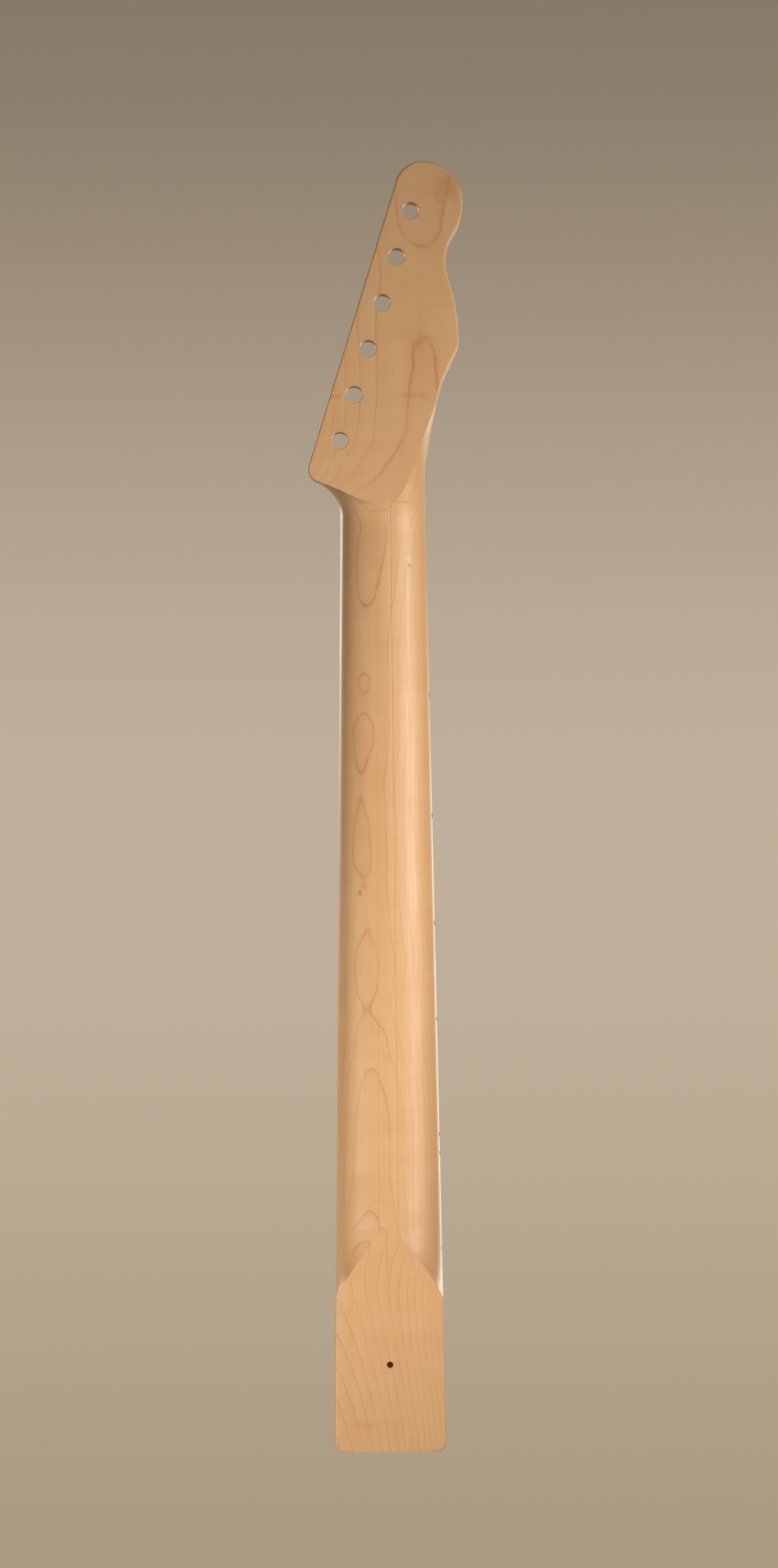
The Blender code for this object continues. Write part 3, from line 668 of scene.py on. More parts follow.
    def build(self, nut_z: float) -> bpy.types.Material:
        """Makes the wood's material.

        Args:
            nut_z: Height of the nut, where u is zero.

        Returns:
            The material.
        """
        material, tree, where = started(self.name, self.pale)
        add = tree.add
        shifted = add("ShaderNodeVectorMath", SUBTRACT, i0=where, i1=(0, 0, nut_z))
        mm = add("ShaderNodeVectorMath", {"operation": "SCALE"}, i0=shifted, Scale=1 / MM)
        noises = {}
        for name, pattern in PATTERNS.items():
            across = 1 / pattern.across_mm
            at = add("ShaderNodeMapping", Vector=mm, Scale=(across, across, 1 / pattern.along_mm))
            noises[name] = add("ShaderNodeTexNoise", {"normalize": not pattern.signed}, Vector=at, Scale=1.0,
                               Detail=pattern.detail, Roughness=pattern.roughness)
        ripple, fibre, curl = noises["ripple"], noises["fibre"], noises["curl"]
        into = add(MATH, {"operation": "FRACT"}, i0=self.rings(tree, mm, noises))
        drawn = self.lines(tree, into, noises["fade"])
        # Late wood deepens the colour slowly over each ring
        tone = 0.0
        for part, share in ((noises["broad"], self.broad_share), (fibre, self.fibre_share),
                            (into, self.late_share), (curl, self.curl_share)):
            tone = add(MATH, MULTIPLY_ADD, i0=part, i1=share, i2=tone)
        shade = add("ShaderNodeMapRange", i0=tone, i1=0.32, i2=0.86, i3=0.0, i4=1.0)
        inked = add(MATH, MULTIPLY, i0=drawn, i1=self.line_strength)
        specks = add("ShaderNodeMapRange", i0=noises["fleck"], i1=0.66, i2=0.78, i3=0.0,
                     i4=self.fleck_strength)
        layers = [(shade, self.warm), (inked, self.line), (specks, self.line)]
        for blot in self.blots:
            away = add("ShaderNodeVectorMath", SUBTRACT, i0=mm, i1=(blot.x, 0, blot.u))
            sized = add("ShaderNodeVectorMath", MULTIPLY, i0=away,
                        i1=(1 / blot.half_x, 0, 1 / blot.half_u))
            reach = add("ShaderNodeVectorMath", {"operation": "LENGTH"}, i0=sized).outputs["Value"]
            ragged = add(MATH, MULTIPLY_ADD, i0=ripple, i1=0.5, i2=reach)
            mark = add("ShaderNodeMapRange", SMOOTH_STEP, i0=ragged, i1=0.15, i2=1.0, i3=blot.strength,
                       i4=0.0)
            layers.append((mark, blot.colour))
        wood = linear(self.pale)
        for share, colour in layers:
            wood = add("ShaderNodeMix", BLEND_COLOURS, i0=share, i6=wood, i7=linear(colour)).outputs[2]
        grit = add("ShaderNodeMapRange", i0=fibre, i1=0.3, i2=0.7, i3=self.roughness - 0.05,
                   i4=self.roughness + 0.07)
        relief = add(MATH, MULTIPLY, i0=curl, i1=0.5)
        relief = add(MATH, MULTIPLY_ADD, i0=fibre, i1=0.7, i2=relief)
        bump = add("ShaderNodeBump", Height=relief, Distance=self.relief_mm * MM, Strength=0.6)
        shader = add("ShaderNodeBsdfPrincipled", Base_Color=wood, Roughness=grit, IOR=1.52, Normal=bump)
        add("ShaderNodeOutputMaterial", Surface=shader)
        return material


@dataclass(frozen=True)
class Metal:
    """Drawn, milled or pressed metal with fine tool marks along one axis."""

    name: str
    colour: str
    roughness: float
    metallic: float = 1.0
    mark_mm: tuple[float, float, float] = (0.15, 0.15, 6.0)
    tarnish_mm: float = 1 / 0.26
    relief_mm: float = 0.03
    thread_pitch_mm: float = 0.0

    def build(self) -> bpy.types.Material:
        """Makes the metal's material.

        Returns:
            The material.
        """
        material, tree, where = started(self.name, self.colour)
        add = tree.add
        scale = tuple(1 / (size * MM) for size in self.mark_mm)
        marks_at = add("ShaderNodeMapping", Vector=where, Scale=scale)
        marks = add("ShaderNodeTexNoise", Vector=marks_at, Scale=1.0, Detail=2.0)
        tarnish = add("ShaderNodeTexNoise", Vector=where, Scale=1 / (self.tarnish_mm * MM), Detail=3.0)
        tint = add("ShaderNodeMapRange", i0=tarnish, i1=0.3, i2=0.7, i3=0.0, i4=0.35)
        base = linear(self.colour)
        mixed = add("ShaderNodeMix", BLEND_COLOURS, i0=tint, i6=base, i7=dimmed(base, 0.72)).outputs[2]
        rough = add("ShaderNodeMapRange", i0=marks, i1=0.3, i2=0.7, i3=self.roughness - 0.05,
                    i4=self.roughness + 0.08)
        height = marks
        if self.thread_pitch_mm:
            along = add("ShaderNodeSeparateXYZ", i0=where).outputs[2]
            turn = add(MATH, MULTIPLY, i0=along, i1=2 * math.pi / (self.thread_pitch_mm * MM))
            thread = add(MATH, SINE, i0=turn)
            height = add(MATH, MULTIPLY_ADD, i0=thread, i1=3.0, i2=marks)
        bump = add("ShaderNodeBump", Height=height, Distance=self.relief_mm * MM, Strength=0.5)
        shader = add("ShaderNodeBsdfPrincipled", Base_Color=mixed, Roughness=rough, Metallic=self.metallic,
                     Normal=bump)
        add("ShaderNodeOutputMaterial", Surface=shader)
        return material


@dataclass(frozen=True)
class Cast:
    """Bone or black plastic, sanded and polished: an even body with faint clouds and fine scratches."""

    name: str
    colour: str
    cloud: str
    roughness: float
    ior: float
    cloud_mm: float = 1 / 0.38
    scratch_mm: tuple[float, float, float] = (1 / 9, 1 / 9, 1 / 0.6)
    relief_mm: float = 0.01

    def build(self) -> bpy.types.Material:
        """Makes the material.

        Returns:
            The material.
        """
        material, tree, where = started(self.name, self.colour)
        add = tree.add
        clouds = add("ShaderNodeTexNoise", Vector=where, Scale=1 / (self.cloud_mm * MM), Detail=4.0)
        tint = add("ShaderNodeMapRange", i0=clouds, i1=0.35, i2=0.65, i3=0.0, i4=1.0)
        base = linear(self.colour)
        mixed = add("ShaderNodeMix", BLEND_COLOURS, i0=tint, i6=base, i7=linear(self.cloud)).outputs[2]
        scale = tuple(1 / (size * MM) for size in self.scratch_mm)
        scratch_at = add("ShaderNodeMapping", Vector=where, Scale=scale)
        scratches = add("ShaderNodeTexNoise", Vector=scratch_at, Scale=1.0, Detail=2.0)
        rough = add("ShaderNodeMapRange", i0=scratches, i1=0.3, i2=0.7, i3=self.roughness - 0.05,
                    i4=self.roughness + 0.10)
        bump = add("ShaderNodeBump", Height=scratches, Distance=self.relief_mm * MM, Strength=0.4)
        shader = add("ShaderNodeBsdfPrincipled", Base_Color=mixed, Roughness=rough, IOR=self.ior,
                     Normal=bump)
        add("ShaderNodeOutputMaterial", Surface=shader)
        return material


def finished(name: str, shape: bmesh.types.BMesh) -> bpy.types.Object:
    """Turns a bmesh into a smooth-shaded object at the origin.

    Args:
        name: Name of the object.
        shape: The mesh, which is freed.

    Returns:
        The object.
    """
    bmesh.ops.recalc_face_normals(shape, faces=shape.faces)
    mesh = bpy.data.meshes.new(name)
    shape.to_mesh(mesh)
    shape.free()
    mesh.shade_smooth()
    mesh.set_sharp_from_angle(angle=SHARP_ANGLE)
    piece = bpy.data.objects.new(name, mesh)
    bpy.context.scene.collection.objects.link(piece)
    return piece


def loft(name: str, rings: list[list[tuple[float, float, float]]]) -> bpy.types.Object:
    """Closed skin through rings of equally many points.

    Args:
        name: Name of the object.
        rings: Points of each ring in order.

    Returns:
        The object.
    """
    shape = bmesh.new()
    layers = [[shape.verts.new(point) for point in ring] for ring in rings]
    for low, high in zip(layers, layers[1:]):
        for i, point in enumerate(low):
            j = (i + 1) % len(low)
            shape.faces.new((point, low[j], high[j], high[i]))
    shape.faces.new(layers[0][::-1])
    shape.faces.new(layers[-1])
    return finished(name, shape)


def turned(name: str, profile: list[tuple[float, float]], place: Matrix, sides: int = 48) -> bpy.types.Object:
    """Closed round shape from a profile of (radius, height) pairs.

    Args:
        name: Name of the object.
        profile: Radius and height, bottom to top.
        place: Where the shape's own origin and axis go.
        sides: Number of sides.

    Returns:
        The object.
    """
    turns = [2 * math.pi * i / sides for i in range(sides)]
    rings = [[place @ Vector((r * math.cos(t), r * math.sin(t), h)) for t in turns] for r, h in profile]
    return loft(name, rings)


def block(name: str, low: tuple, high: tuple) -> bpy.types.Object:
    """Box between two corners.

    Args:
        name: Name of the object.
        low: Lowest corner.
        high: Highest corner.

    Returns:
        The object.
    """
    shape = bmesh.new()
    size = [h - l for l, h in zip(low, high)]
    middle = Matrix.Translation([(l + h) / 2 for l, h in zip(low, high)])
    bmesh.ops.create_cube(shape, size=1.0, matrix=middle @ Matrix.Diagonal((*size, 1.0)))
    return finished(name, shape)


def apply_modifiers(piece: bpy.types.Object) -> None:
    """Replaces the object's mesh with its evaluated one and removes the modifiers.

    Args:
        piece: Object to change.
    """
    bpy.context.view_layer.update()
    evaluated = piece.evaluated_get(bpy.context.evaluated_depsgraph_get())
    mesh = bpy.data.meshes.new_from_object(evaluated)
    piece.modifiers.clear()
    piece.data = mesh


def cut(piece: bpy.types.Object, tools: list[bpy.types.Object]) -> None:
    """Cuts the tools out of the piece and removes them.

    Args:
        piece: Object to cut.
        tools: Closed shapes to take away.
    """
    group = bpy.data.collections.new(piece.name + "_tools")
    for tool in tools:
        group.objects.link(tool)
    modifier = piece.modifiers.new("cuts", "BOOLEAN")
    modifier.operation = "DIFFERENCE"
    modifier.operand_type = "COLLECTION"
    modifier.collection = group
    modifier.solver = "EXACT"
    apply_modifiers(piece)
    piece.data.shade_smooth()
    piece.data.set_sharp_from_angle(angle=SHARP_ANGLE)
    flat = piece.modifiers.new("flat_faces_stay_flat", "WEIGHTED_NORMAL")
    flat.keep_sharp = True
    apply_modifiers(piece)
    for tool in tools:
        bpy.data.objects.remove(tool)
    bpy.data.collections.remove(group)


@dataclass
class NeckBlank:
    """Shaft, headstock and heel in one piece of maple, with eased edges, holes and channel."""

    shape: NeckShape
    edge_radius: float = 0.0011
    hole_diameter: float = 0.00873
    hole_rim: float = 0.00025
    hole_pitch: float = 0.02425
    hole_edge_distance: float = 0.0114
    first_hole_u: float = 0.0414
    hole_count: int = 6
    pilot_diameter: float = 0.0032
    pilot_depth: float = 0.0065
    pilot_to_end: float = 0.0438
    channel_half: float = 0.00345
    channel_floor: float = 0.00845
    channel_end: float = 0.0180
    key_slot_radius: float = 0.0038
    key_slot_end: float = 0.0260
    rod_y: float = 0.01535
    fine_end: float = 0.0650
    least_gap: float = 0.00002
    plan_step: float = 0.0006
    face_run: float = 0.006
    hole_past: float = 0.003
    pilot_past: float = 0.002
    pilot_flare: float = 0.0022
    pilot_rim: float = 0.0002
    pilot_point: float = 0.001
    channel_past: float = 0.002
    channel_to_nut: float = 0.0032
    key_slot_start: float = 0.0092

    def stations(self) -> list[float]:
        """Places of the sections, closer together where the form changes fast.

        Returns:
            Places in rising order.
        """
        s = self.shape
        corner = [s.heel_corner_radius * (1 - math.cos(math.radians(a))) - s.length for a in range(0, 88, 8)]
        start = [self.edge_radius * share - s.length for share in EDGE_SHARES]
        flat_end = s.heel_flat_length - s.length
        rise_end = s.heel_line + s.heel_rise_length
        drop_start = s.head_blend_start - s.head_rise_length
        spans = ((s.heel_corner_radius - s.length, flat_end, 0.004), (flat_end, rise_end, 0.0011),
                 (rise_end, drop_start, 0.006), (drop_start, self.fine_end, 0.0007),
                 (self.fine_end, s.edge_end, 0.0018))
        rows = [*corner, *start]
        for span in spans:
            rows += spaced(*span)
        tip = s.head_length - s.edge_end
        rows += [s.edge_end + tip * math.sin(math.radians(a / 2)) for a in range(0, 177, 3)]
        rows += [s.head_length - self.edge_radius * share for share in TIP_SHARES]
        kept: list[float] = []
        for row in sorted(rows):
            if not kept or row - kept[-1] > self.least_gap:
                kept.append(row)
        return kept

    def ring(self, u: float) -> list[tuple[float, float, float]]:
        """Outline of the blank across the neck at u.

        Args:
            u: Place along the neck.

        Returns:
            Points in order.
        """
        s = self.shape
        spine = s.spine_x(u)
        left = s.side(u, False, 14, 8, self.edge_radius)
        right = s.side(u, True, 14, 8, self.edge_radius)
        front = min(s.ramp_y(u), s.front_y)
        strips = [self.edge_radius * share for share in EDGE_SHARES]

        def face(half: float) -> list[float]:
            """Distances from the spine over the front face, edge first.

            Args:
                half: Width of this side.

            Returns:
                The distances.
            """
            strip = min(self.edge_radius, half / 2) / self.edge_radius
            outer = [half - width * strip for width in strips]
            return [*outer, *[outer[-1] * (1 - i / 4) for i in range(1, 4)]]

        ring = [(spine - x, y) for x, y in left]
        ring.append((spine, s.front_y - s.depth(u)))
        ring += [(spine + x, y) for x, y in reversed(right)]
        ring += [(spine + x, front) for x in face(s.half_width(u, True))]
        ring.append((spine, front))
        ring += [(spine - x, front) for x in reversed(face(s.half_width(u, False)))]
        return [(x, y, s.nut_z + u) for x, y in ring]

    def ease_edges(self, mesh: bpy.types.Mesh) -> None:
        """Rounds the edges of heel and headstock by how close each point lies to the outline.

        Args:
            mesh: Mesh of the blank, which is changed.
        """
        s = self.shape
        plan = s.plan(self.plan_step)
        tree = KDTree(len(plan))
        for i, (x, z) in enumerate(plan):
            tree.insert((x, 0.0, z), i)
        tree.balance()
        radius = self.edge_radius
        for point in mesh.vertices:
            at = Vector((point.co.x, 0.0, point.co.z))
            _, i, away = tree.find(at)
            if away > radius * 2:
                continue
            for j in (i - 1, i + 1):
                start = Vector((plan[i][0], 0.0, plan[i][1]))
                end = Vector((plan[j % len(plan)][0], 0.0, plan[j % len(plan)][1]))
                foot, share = intersect_point_line(at, start, end)
                if 0 <= share <= 1:
                    away = min(away, (foot - at).length)
            if away >= radius:
                continue
            drop = radius - math.sqrt(max(radius ** 2 - (radius - away) ** 2, 0.0))
            u = point.co.z - s.nut_z
            back = s.front_y - s.depth(u) + drop
            face_share = eased((u - s.ramp_foot + self.face_run) / self.face_run)
            front = min(s.ramp_y(u), s.front_y) - drop * face_share
            point.co.y = min(max(point.co.y, back), front)

    def hole_places(self) -> list[tuple[float, float]]:
        """Centres (x, u) of the tuner holes, on a line beside the tuner edge.

        Returns:
            The centres.
        """
        s = self.shape
        us = [self.first_hole_u + n * self.hole_pitch * s.cosine for n in range(self.hole_count)]
        return [(-s.tuner_edge_at_nut + s.slope * u + self.hole_edge_distance / s.cosine, u) for u in us]

    def build(self) -> bpy.types.Object:
        """Makes the blank.

        Returns:
            The finished object.
        """
        s = self.shape
        blank = loft("maple_blank", [self.ring(u) for u in self.stations()])
        self.ease_edges(blank.data)
        tools = []
        radius = self.hole_diameter / 2
        rim = self.hole_rim
        low, high = s.head_back_y, s.head_face_y
        past = self.hole_past
        profile = [(radius + rim + past, low - past), (radius, low + rim), (radius, high - rim),
                   (radius + rim + past, high + past)]
        to_y = Matrix.Rotation(-math.pi / 2, 4, "X")
        for number, (x, u) in enumerate(self.hole_places()):
            place = Matrix.Translation((x, 0, s.nut_z + u)) @ to_y
            tools.append(turned(f"tuner_hole_{number}", profile, place, 64))
        pilot = self.pilot_diameter / 2
        pilot_place = Matrix.Translation((0, 0, s.heel_end_z + self.pilot_to_end)) @ to_y
        pilot_profile = [(pilot + self.pilot_flare, -self.pilot_past), (pilot, self.pilot_rim)]
        pilot_profile.append((pilot, self.pilot_depth - self.pilot_point))
        pilot_profile.append((pilot * 0.1, self.pilot_depth))
        tools.append(turned("pilot_hole", pilot_profile, pilot_place, 40))
        half = self.channel_half
        top = s.front_y + self.channel_past
        tools.append(block("channel", (-half, self.channel_floor, s.heel_end_z + self.channel_end),
                           (half, top, s.nut_z - self.channel_to_nut)))
        slot = self.key_slot_radius
        steps = [math.pi * (1 + i / 16) for i in range(17)]
        section = [(slot * math.cos(a), self.rod_y + slot * math.sin(a)) for a in steps]
        section += [(slot, top), (-slot, top)]
        ends = (s.nut_z - self.key_slot_start, s.nut_z + self.key_slot_end)
        tools.append(loft("key_slot", [[(x, y, z) for x, y in section] for z in ends]))
        cut(blank, tools)
        return blank


@dataclass
class Fingerboard:
    """Radiused maple board with rolled edges, saw slots for the frets and a seat for the nut."""

    shape: NeckShape
    roll: float = 0.0005
    slot_width: float = 0.0006
    slot_depth: float = 0.0019
    nut_thickness: float = 0.0033
    nut_seat_depth: float = 0.0030
    tail_u: float = 0.01179
    step: float = 0.012
    ramp_step: float = 0.0006
    cut_past: float = 0.002
    seat_fit: float = 0.0001
    seat_reach: float = 0.03
    seat_rise: float = 0.01

    def ring(self, u: float) -> list[tuple[float, float, float]]:
        """Outline of the board across the neck at u.

        Args:
            u: Place along the neck.

        Returns:
            Points in order.
        """
        s = self.shape
        half = s.board_half(u)
        bottom = s.board_bottom_y
        ring = [(-half, bottom), (half, bottom)]
        shares = [half, half - self.roll * 0.3, half - self.roll]
        shares += [half * (1 - i / 12) for i in range(1, 12)]
        xs = [*shares, 0.0, *[-x for x in reversed(shares)]]
        for x in xs:
            inward = min(half - abs(x), self.roll)
            rolled = self.roll - math.sqrt(max(self.roll ** 2 - (self.roll - inward) ** 2, 0.0))
            y = s.board_top(x) - rolled
            if u > s.ramp_start:
                y = min(y, s.ramp_y(u))
            ring.append((x, y))
        return [(x, y, s.nut_z + u) for x, y in ring]

    def build(self) -> bpy.types.Object:
        """Makes the board.

        Returns:
            The finished object.
        """
        s = self.shape
        corner = [s.heel_corner_radius * (1 - math.cos(math.radians(a))) - s.length for a in range(0, 88, 6)]
        rows = [*corner, *spaced(s.heel_corner_radius - s.length, 0.0, self.step), 0.0]
        rows += [*spaced(s.ramp_start, self.tail_u, self.ramp_step), self.tail_u]
        board = loft("maple_board", [self.ring(u) for u in rows])
        tools = []
        for number in range(1, s.fret_count + 1):
            u = s.fret_u(number)
            reach = s.board_half(u) + self.cut_past
            xs = [reach * (i / 10 - 1) for i in range(21)]
            across = self.slot_width / 2
            rings = [[(x, s.board_top(min(max(x, -s.board_half(u)), s.board_half(u))) + h, s.nut_z + u + z)
                      for h, z in ((-self.slot_depth, -across), (self.cut_past, -across),
                                   (self.cut_past, across), (-self.slot_depth, across))] for x in xs]
            tools.append(loft(f"slot_{number}", rings))
        seat = s.board_top_y - self.nut_seat_depth - self.seat_fit
        low = (-self.seat_reach, seat, s.nut_z - self.seat_fit)
        high = (self.seat_reach, seat + self.seat_rise, s.nut_z + self.nut_thickness + self.seat_fit)
        tools.append(block("nut_seat", low, high))
        cut(board, tools)
        return board


@dataclass
class StringNut:
    """Bone nut with a radiused, rounded top and a filed slot for each string."""

    shape: NeckShape
    thickness: float = 0.0033
    height: float = 0.0046
    seat_depth: float = 0.0030
    inset: float = 0.0003
    fall: float = 0.0005
    margin: float = 0.0035
    clearance: float = 0.0002
    end_round: float = 0.0006
    top_round: float = 0.0006
    front_edge: float = 0.0004
    back_edge: float = 0.0007
    slot_rise: float = 0.004
    slot_past: float = 0.001
    diameters: tuple[float, ...] = (0.00025, 0.00033, 0.00043, 0.00066, 0.00091, 0.00117)

    def build(self) -> bpy.types.Object:
        """Makes the nut.

        Returns:
            The finished object.
        """
        s = self.shape
        half = s.half_nut - self.inset
        foot = s.board_top_y - self.seat_depth
        rings = []
        for i in range(33):
            x = half * (i / 16 - 1)
            end = min((half - abs(x)) / self.end_round, 1.0)
            crest = s.board_top(x) + self.height - self.seat_depth
            crest -= self.end_round * (1 - math.sqrt(max(1 - (1 - end) ** 2, 0.0)))
            ring = [(x, foot, s.nut_z), (x, crest - self.front_edge, s.nut_z)]
            for share in (0.08, 0.22, 0.5, 0.75, 0.92):
                round_off = self.top_round * (2 * share - 1) ** 4
                ring.append((x, crest - self.fall * share - round_off, s.nut_z + self.thickness * share))
            ring.append((x, crest - self.fall - self.back_edge, s.nut_z + self.thickness))
            ring.append((x, foot, s.nut_z + self.thickness))
            rings.append(ring)
        nut = loft("bone_nut", rings)
        tools = []
        spread = s.nut_width - 2 * self.margin
        for number, diameter in enumerate(self.diameters):
            x = spread * (number / (len(self.diameters) - 1) - 0.5)
            radius = (diameter + self.clearance) / 2
            bottom = s.board_top(x) + self.height - self.seat_depth - diameter / 2
            steps = [math.pi * (1 + i / 8) for i in range(9)]
            section = [(x + radius * math.cos(a), bottom + radius + radius * math.sin(a)) for a in steps]
            section += [(x + radius, bottom + self.slot_rise), (x - radius, bottom + self.slot_rise)]
            ends = (s.nut_z - self.slot_past, s.nut_z + self.thickness + self.slot_past)
            tools.append(loft(f"string_slot_{number}", [[(a, b, z) for a, b in section] for z in ends]))
        cut(nut, tools)
        return nut


class GeometryTree(NodeTree):
    """A geometry node tree with named inputs for its sizes."""

    def __init__(self, name: str, sizes: dict[str, float | int]) -> None:
        """Makes the tree's inputs and output.

        Args:
            name: Name of the tree.
            sizes: Name and value of each size.
        """
        super().__init__(bpy.data.node_groups.new(name, "GeometryNodeTree"))
        self.sizes = sizes
        face = self.tree.interface
        face.new_socket("Geometry", in_out="INPUT", socket_type="NodeSocketGeometry")
        for size, value in sizes.items():
            kind = "NodeSocketInt" if isinstance(value, int) else "NodeSocketFloat"
            face.new_socket(size, in_out="INPUT", socket_type=kind)
        face.new_socket("Finish", in_out="INPUT", socket_type="NodeSocketMaterial")
        face.new_socket("Geometry", in_out="OUTPUT", socket_type="NodeSocketGeometry")
        self.given = self.add("NodeGroupInput")

    def size(self, name: str) -> bpy.types.NodeSocket:
        """Socket of a named size."""
        return self.given.outputs[name]

    def close(self, geometry: object) -> None:
        """Ends the tree: instances made real, and the finish set.

        Args:
            geometry: Geometry to end with.
        """
        real = self.add("GeometryNodeRealizeInstances", i0=geometry)
        dressed = self.add("GeometryNodeSetMaterial", Geometry=real, Material=self.size("Finish"))
        self.add("NodeGroupOutput", i0=dressed)

    def run(self, name: str, material: bpy.types.Material,
            source: bpy.types.Mesh | None = None) -> bpy.types.Object:
        """Runs the tree once and keeps the result as a plain mesh.

        Args:
            name: Name of the new object.
            material: Finish of the new mesh.
            source: Mesh that the tree starts from.

        Returns:
            The finished object.
        """
        piece = bpy.data.objects.new(name, source or bpy.data.meshes.new(name))
        bpy.context.scene.collection.objects.link(piece)
        modifier = piece.modifiers.new(name, "NODES")
        modifier.node_group = self.tree
        for item in self.tree.interface.items_tree:
            if item.in_out == "INPUT" and item.name in self.sizes:
                modifier[item.identifier] = self.sizes[item.name]
            elif item.in_out == "INPUT" and item.name == "Finish":
                modifier[item.identifier] = material
        apply_modifiers(piece)
        piece.data.name = name
        piece.data.shade_smooth()
        piece.data.set_sharp_from_angle(angle=SMALL_SHARP_ANGLE)
        return piece


@dataclass
class Frets:
    """Fretwire over the board: a low crown with bevelled ends, and a tang in each slot."""

    shape: NeckShape
    crown_width: float = 0.0024
    crown_height: float = 0.0011
    inset: float = 0.0003
    end_angle: float = math.radians(33)
    tang_width: float = 0.0005
    tang_depth: float = 0.0016
    bevel_share: float = 0.05
    straight_share: float = 0.99
    tang_overhang: float = 0.8

    def seat(self, tree: GeometryTree, x: object) -> bpy.types.Node:
        """Adds the height of the board's top at x.

        Args:
            tree: Tree to add to.
            x: Distance from the middle of the board.

        Returns:
            Node with the height.
        """
        add, size = tree.add, tree.size
        radius_square = add(MATH, POWER, i0=size("Board Radius"), i1=2.0)
        x_square = add(MATH, POWER, i0=x, i1=2.0)
        sag = add(MATH, SUBTRACT, i0=radius_square, i1=x_square)
        root = add(MATH, {"operation": "SQRT"}, i0=sag)
        centre = add(MATH, SUBTRACT, i0=size("Board Top"), i1=size("Board Radius"))
        return add(MATH, ADD, i0=centre, i1=root)

    def build(self, material: bpy.types.Material) -> bpy.types.Object:
        """Makes all the frets with one tree that follows the scale's rule.

        Args:
            material: Finish of the wire.

        Returns:
            The finished object.
        """
        s = self.shape
        tree = GeometryTree("fretwire", {
            "Fret Count": s.fret_count, "Scale Length": s.scale_length, "Nut Height": s.nut_z,
            "Nut Half Width": s.half_nut, "Heel Half Width": s.heel_width / 2, "Neck Length": s.length,
            "Board Radius": s.board_radius, "Board Top": s.board_top_y, "Inset": self.inset,
            "Crown Width": self.crown_width, "Crown Height": self.crown_height,
            "End Run": self.crown_height * math.tan(self.end_angle),
            "Tang Width": self.tang_width, "Tang Depth": self.tang_depth,
        })
        add, size = tree.add, tree.size
        row = add("GeometryNodeMeshLine", {"mode": "OFFSET"}, Count=size("Fret Count"), Offset=(0, 0, 0))
        # The scale's rule: each fret leaves a twelfth root of two less of the string
        number = add(MATH, ADD, i0=add("GeometryNodeInputIndex"), i1=1.0)
        exponent = add(MATH, DIVIDE, i0=number, i1=-12.0)
        ratio = add(MATH, POWER, i0=2.0, i1=exponent)
        passed = add(MATH, SUBTRACT, i0=1.0, i1=ratio)
        down = add(MATH, MULTIPLY, i0=size("Scale Length"), i1=passed)
        taper = add(MATH, SUBTRACT, i0=size("Heel Half Width"), i1=size("Nut Half Width"))
        along = add(MATH, DIVIDE, i0=down, i1=size("Neck Length"))
        widening = add(MATH, MULTIPLY, i0=taper, i1=along)
        widened = add(MATH, ADD, i0=size("Nut Half Width"), i1=widening)
        half = add(MATH, SUBTRACT, i0=widened, i1=size("Inset"))
        for name, value in (("down", down), ("half", half)):
            row = add("GeometryNodeStoreNamedAttribute", {"data_type": "FLOAT", "domain": "POINT"},
                      Geometry=row, Name=name, Value=value)
        # A flat sheet one unit wide becomes the crown, and a unit bar becomes the tang in the slot
        sheet = add("GeometryNodeMeshGrid", Size_X=2.0, Size_Y=1.0, Vertices_X=41, Vertices_Y=13)
        bar = add("GeometryNodeMeshCube", Size=(2.0, 1.0, 1.0), Vertices_X=9)
        across, around, up = add("ShaderNodeSeparateXYZ", i0=add("GeometryNodeInputPosition")).outputs
        reach, below = [add("GeometryNodeInputNamedAttribute", {"data_type": "FLOAT"}, Name=name)
                        for name in ("half", "down")]
        fret_z = add(MATH, SUBTRACT, i0=size("Nut Height"), i1=below)
        # Full is 1 along the crown and falls to 0 over its bevelled ends
        from_middle = add(MATH, ABSOLUTE, i0=across)
        to_end = add(MATH, SUBTRACT, i0=1.0, i1=from_middle)
        into_bevel = add(MATH, DIVIDE, i0=to_end, i1=self.bevel_share)
        full = add(MATH, MINIMUM, i0=into_bevel, i1=1.0)
        is_end = add(MATH, {"operation": "LESS_THAN"}, i0=full, i1=0.999)
        is_middle = add(MATH, SUBTRACT, i0=1.0, i1=is_end)
        run = add(MATH, MULTIPLY, i0=full, i1=size("End Run"))
        inner = add(MATH, SUBTRACT, i0=reach, i1=run)
        sign = add(MATH, {"operation": "SIGN"}, i0=across)
        end_x = add(MATH, MULTIPLY, i0=sign, i1=inner)
        at_end = add(MATH, MULTIPLY, i0=is_end, i1=end_x)
        spread = add(MATH, MULTIPLY, i0=across, i1=reach)
        straight = add(MATH, MULTIPLY, i0=spread, i1=self.straight_share)
        in_middle = add(MATH, MULTIPLY, i0=is_middle, i1=straight)
        x = add(MATH, ADD, i0=in_middle, i1=at_end)
        half_turns = add(MATH, ADD, i0=around, i1=0.5)
        turn = add(MATH, MULTIPLY, i0=half_turns, i1=math.pi)
        height = add(MATH, MULTIPLY, i0=size("Crown Height"), i1=full)
        sine = add(MATH, SINE, i0=turn)
        rise = add(MATH, MULTIPLY, i0=sine, i1=height)
        y = add(MATH, ADD, i0=self.seat(tree, x), i1=rise)
        cosine = add(MATH, COSINE, i0=turn)
        half_crown = add(MATH, MULTIPLY, i0=size("Crown Width"), i1=-0.5)
        aside = add(MATH, MULTIPLY, i0=cosine, i1=half_crown)
        z = add(MATH, ADD, i0=fret_z, i1=aside)
        crown_at = add("ShaderNodeCombineXYZ", i0=x, i1=y, i2=z)
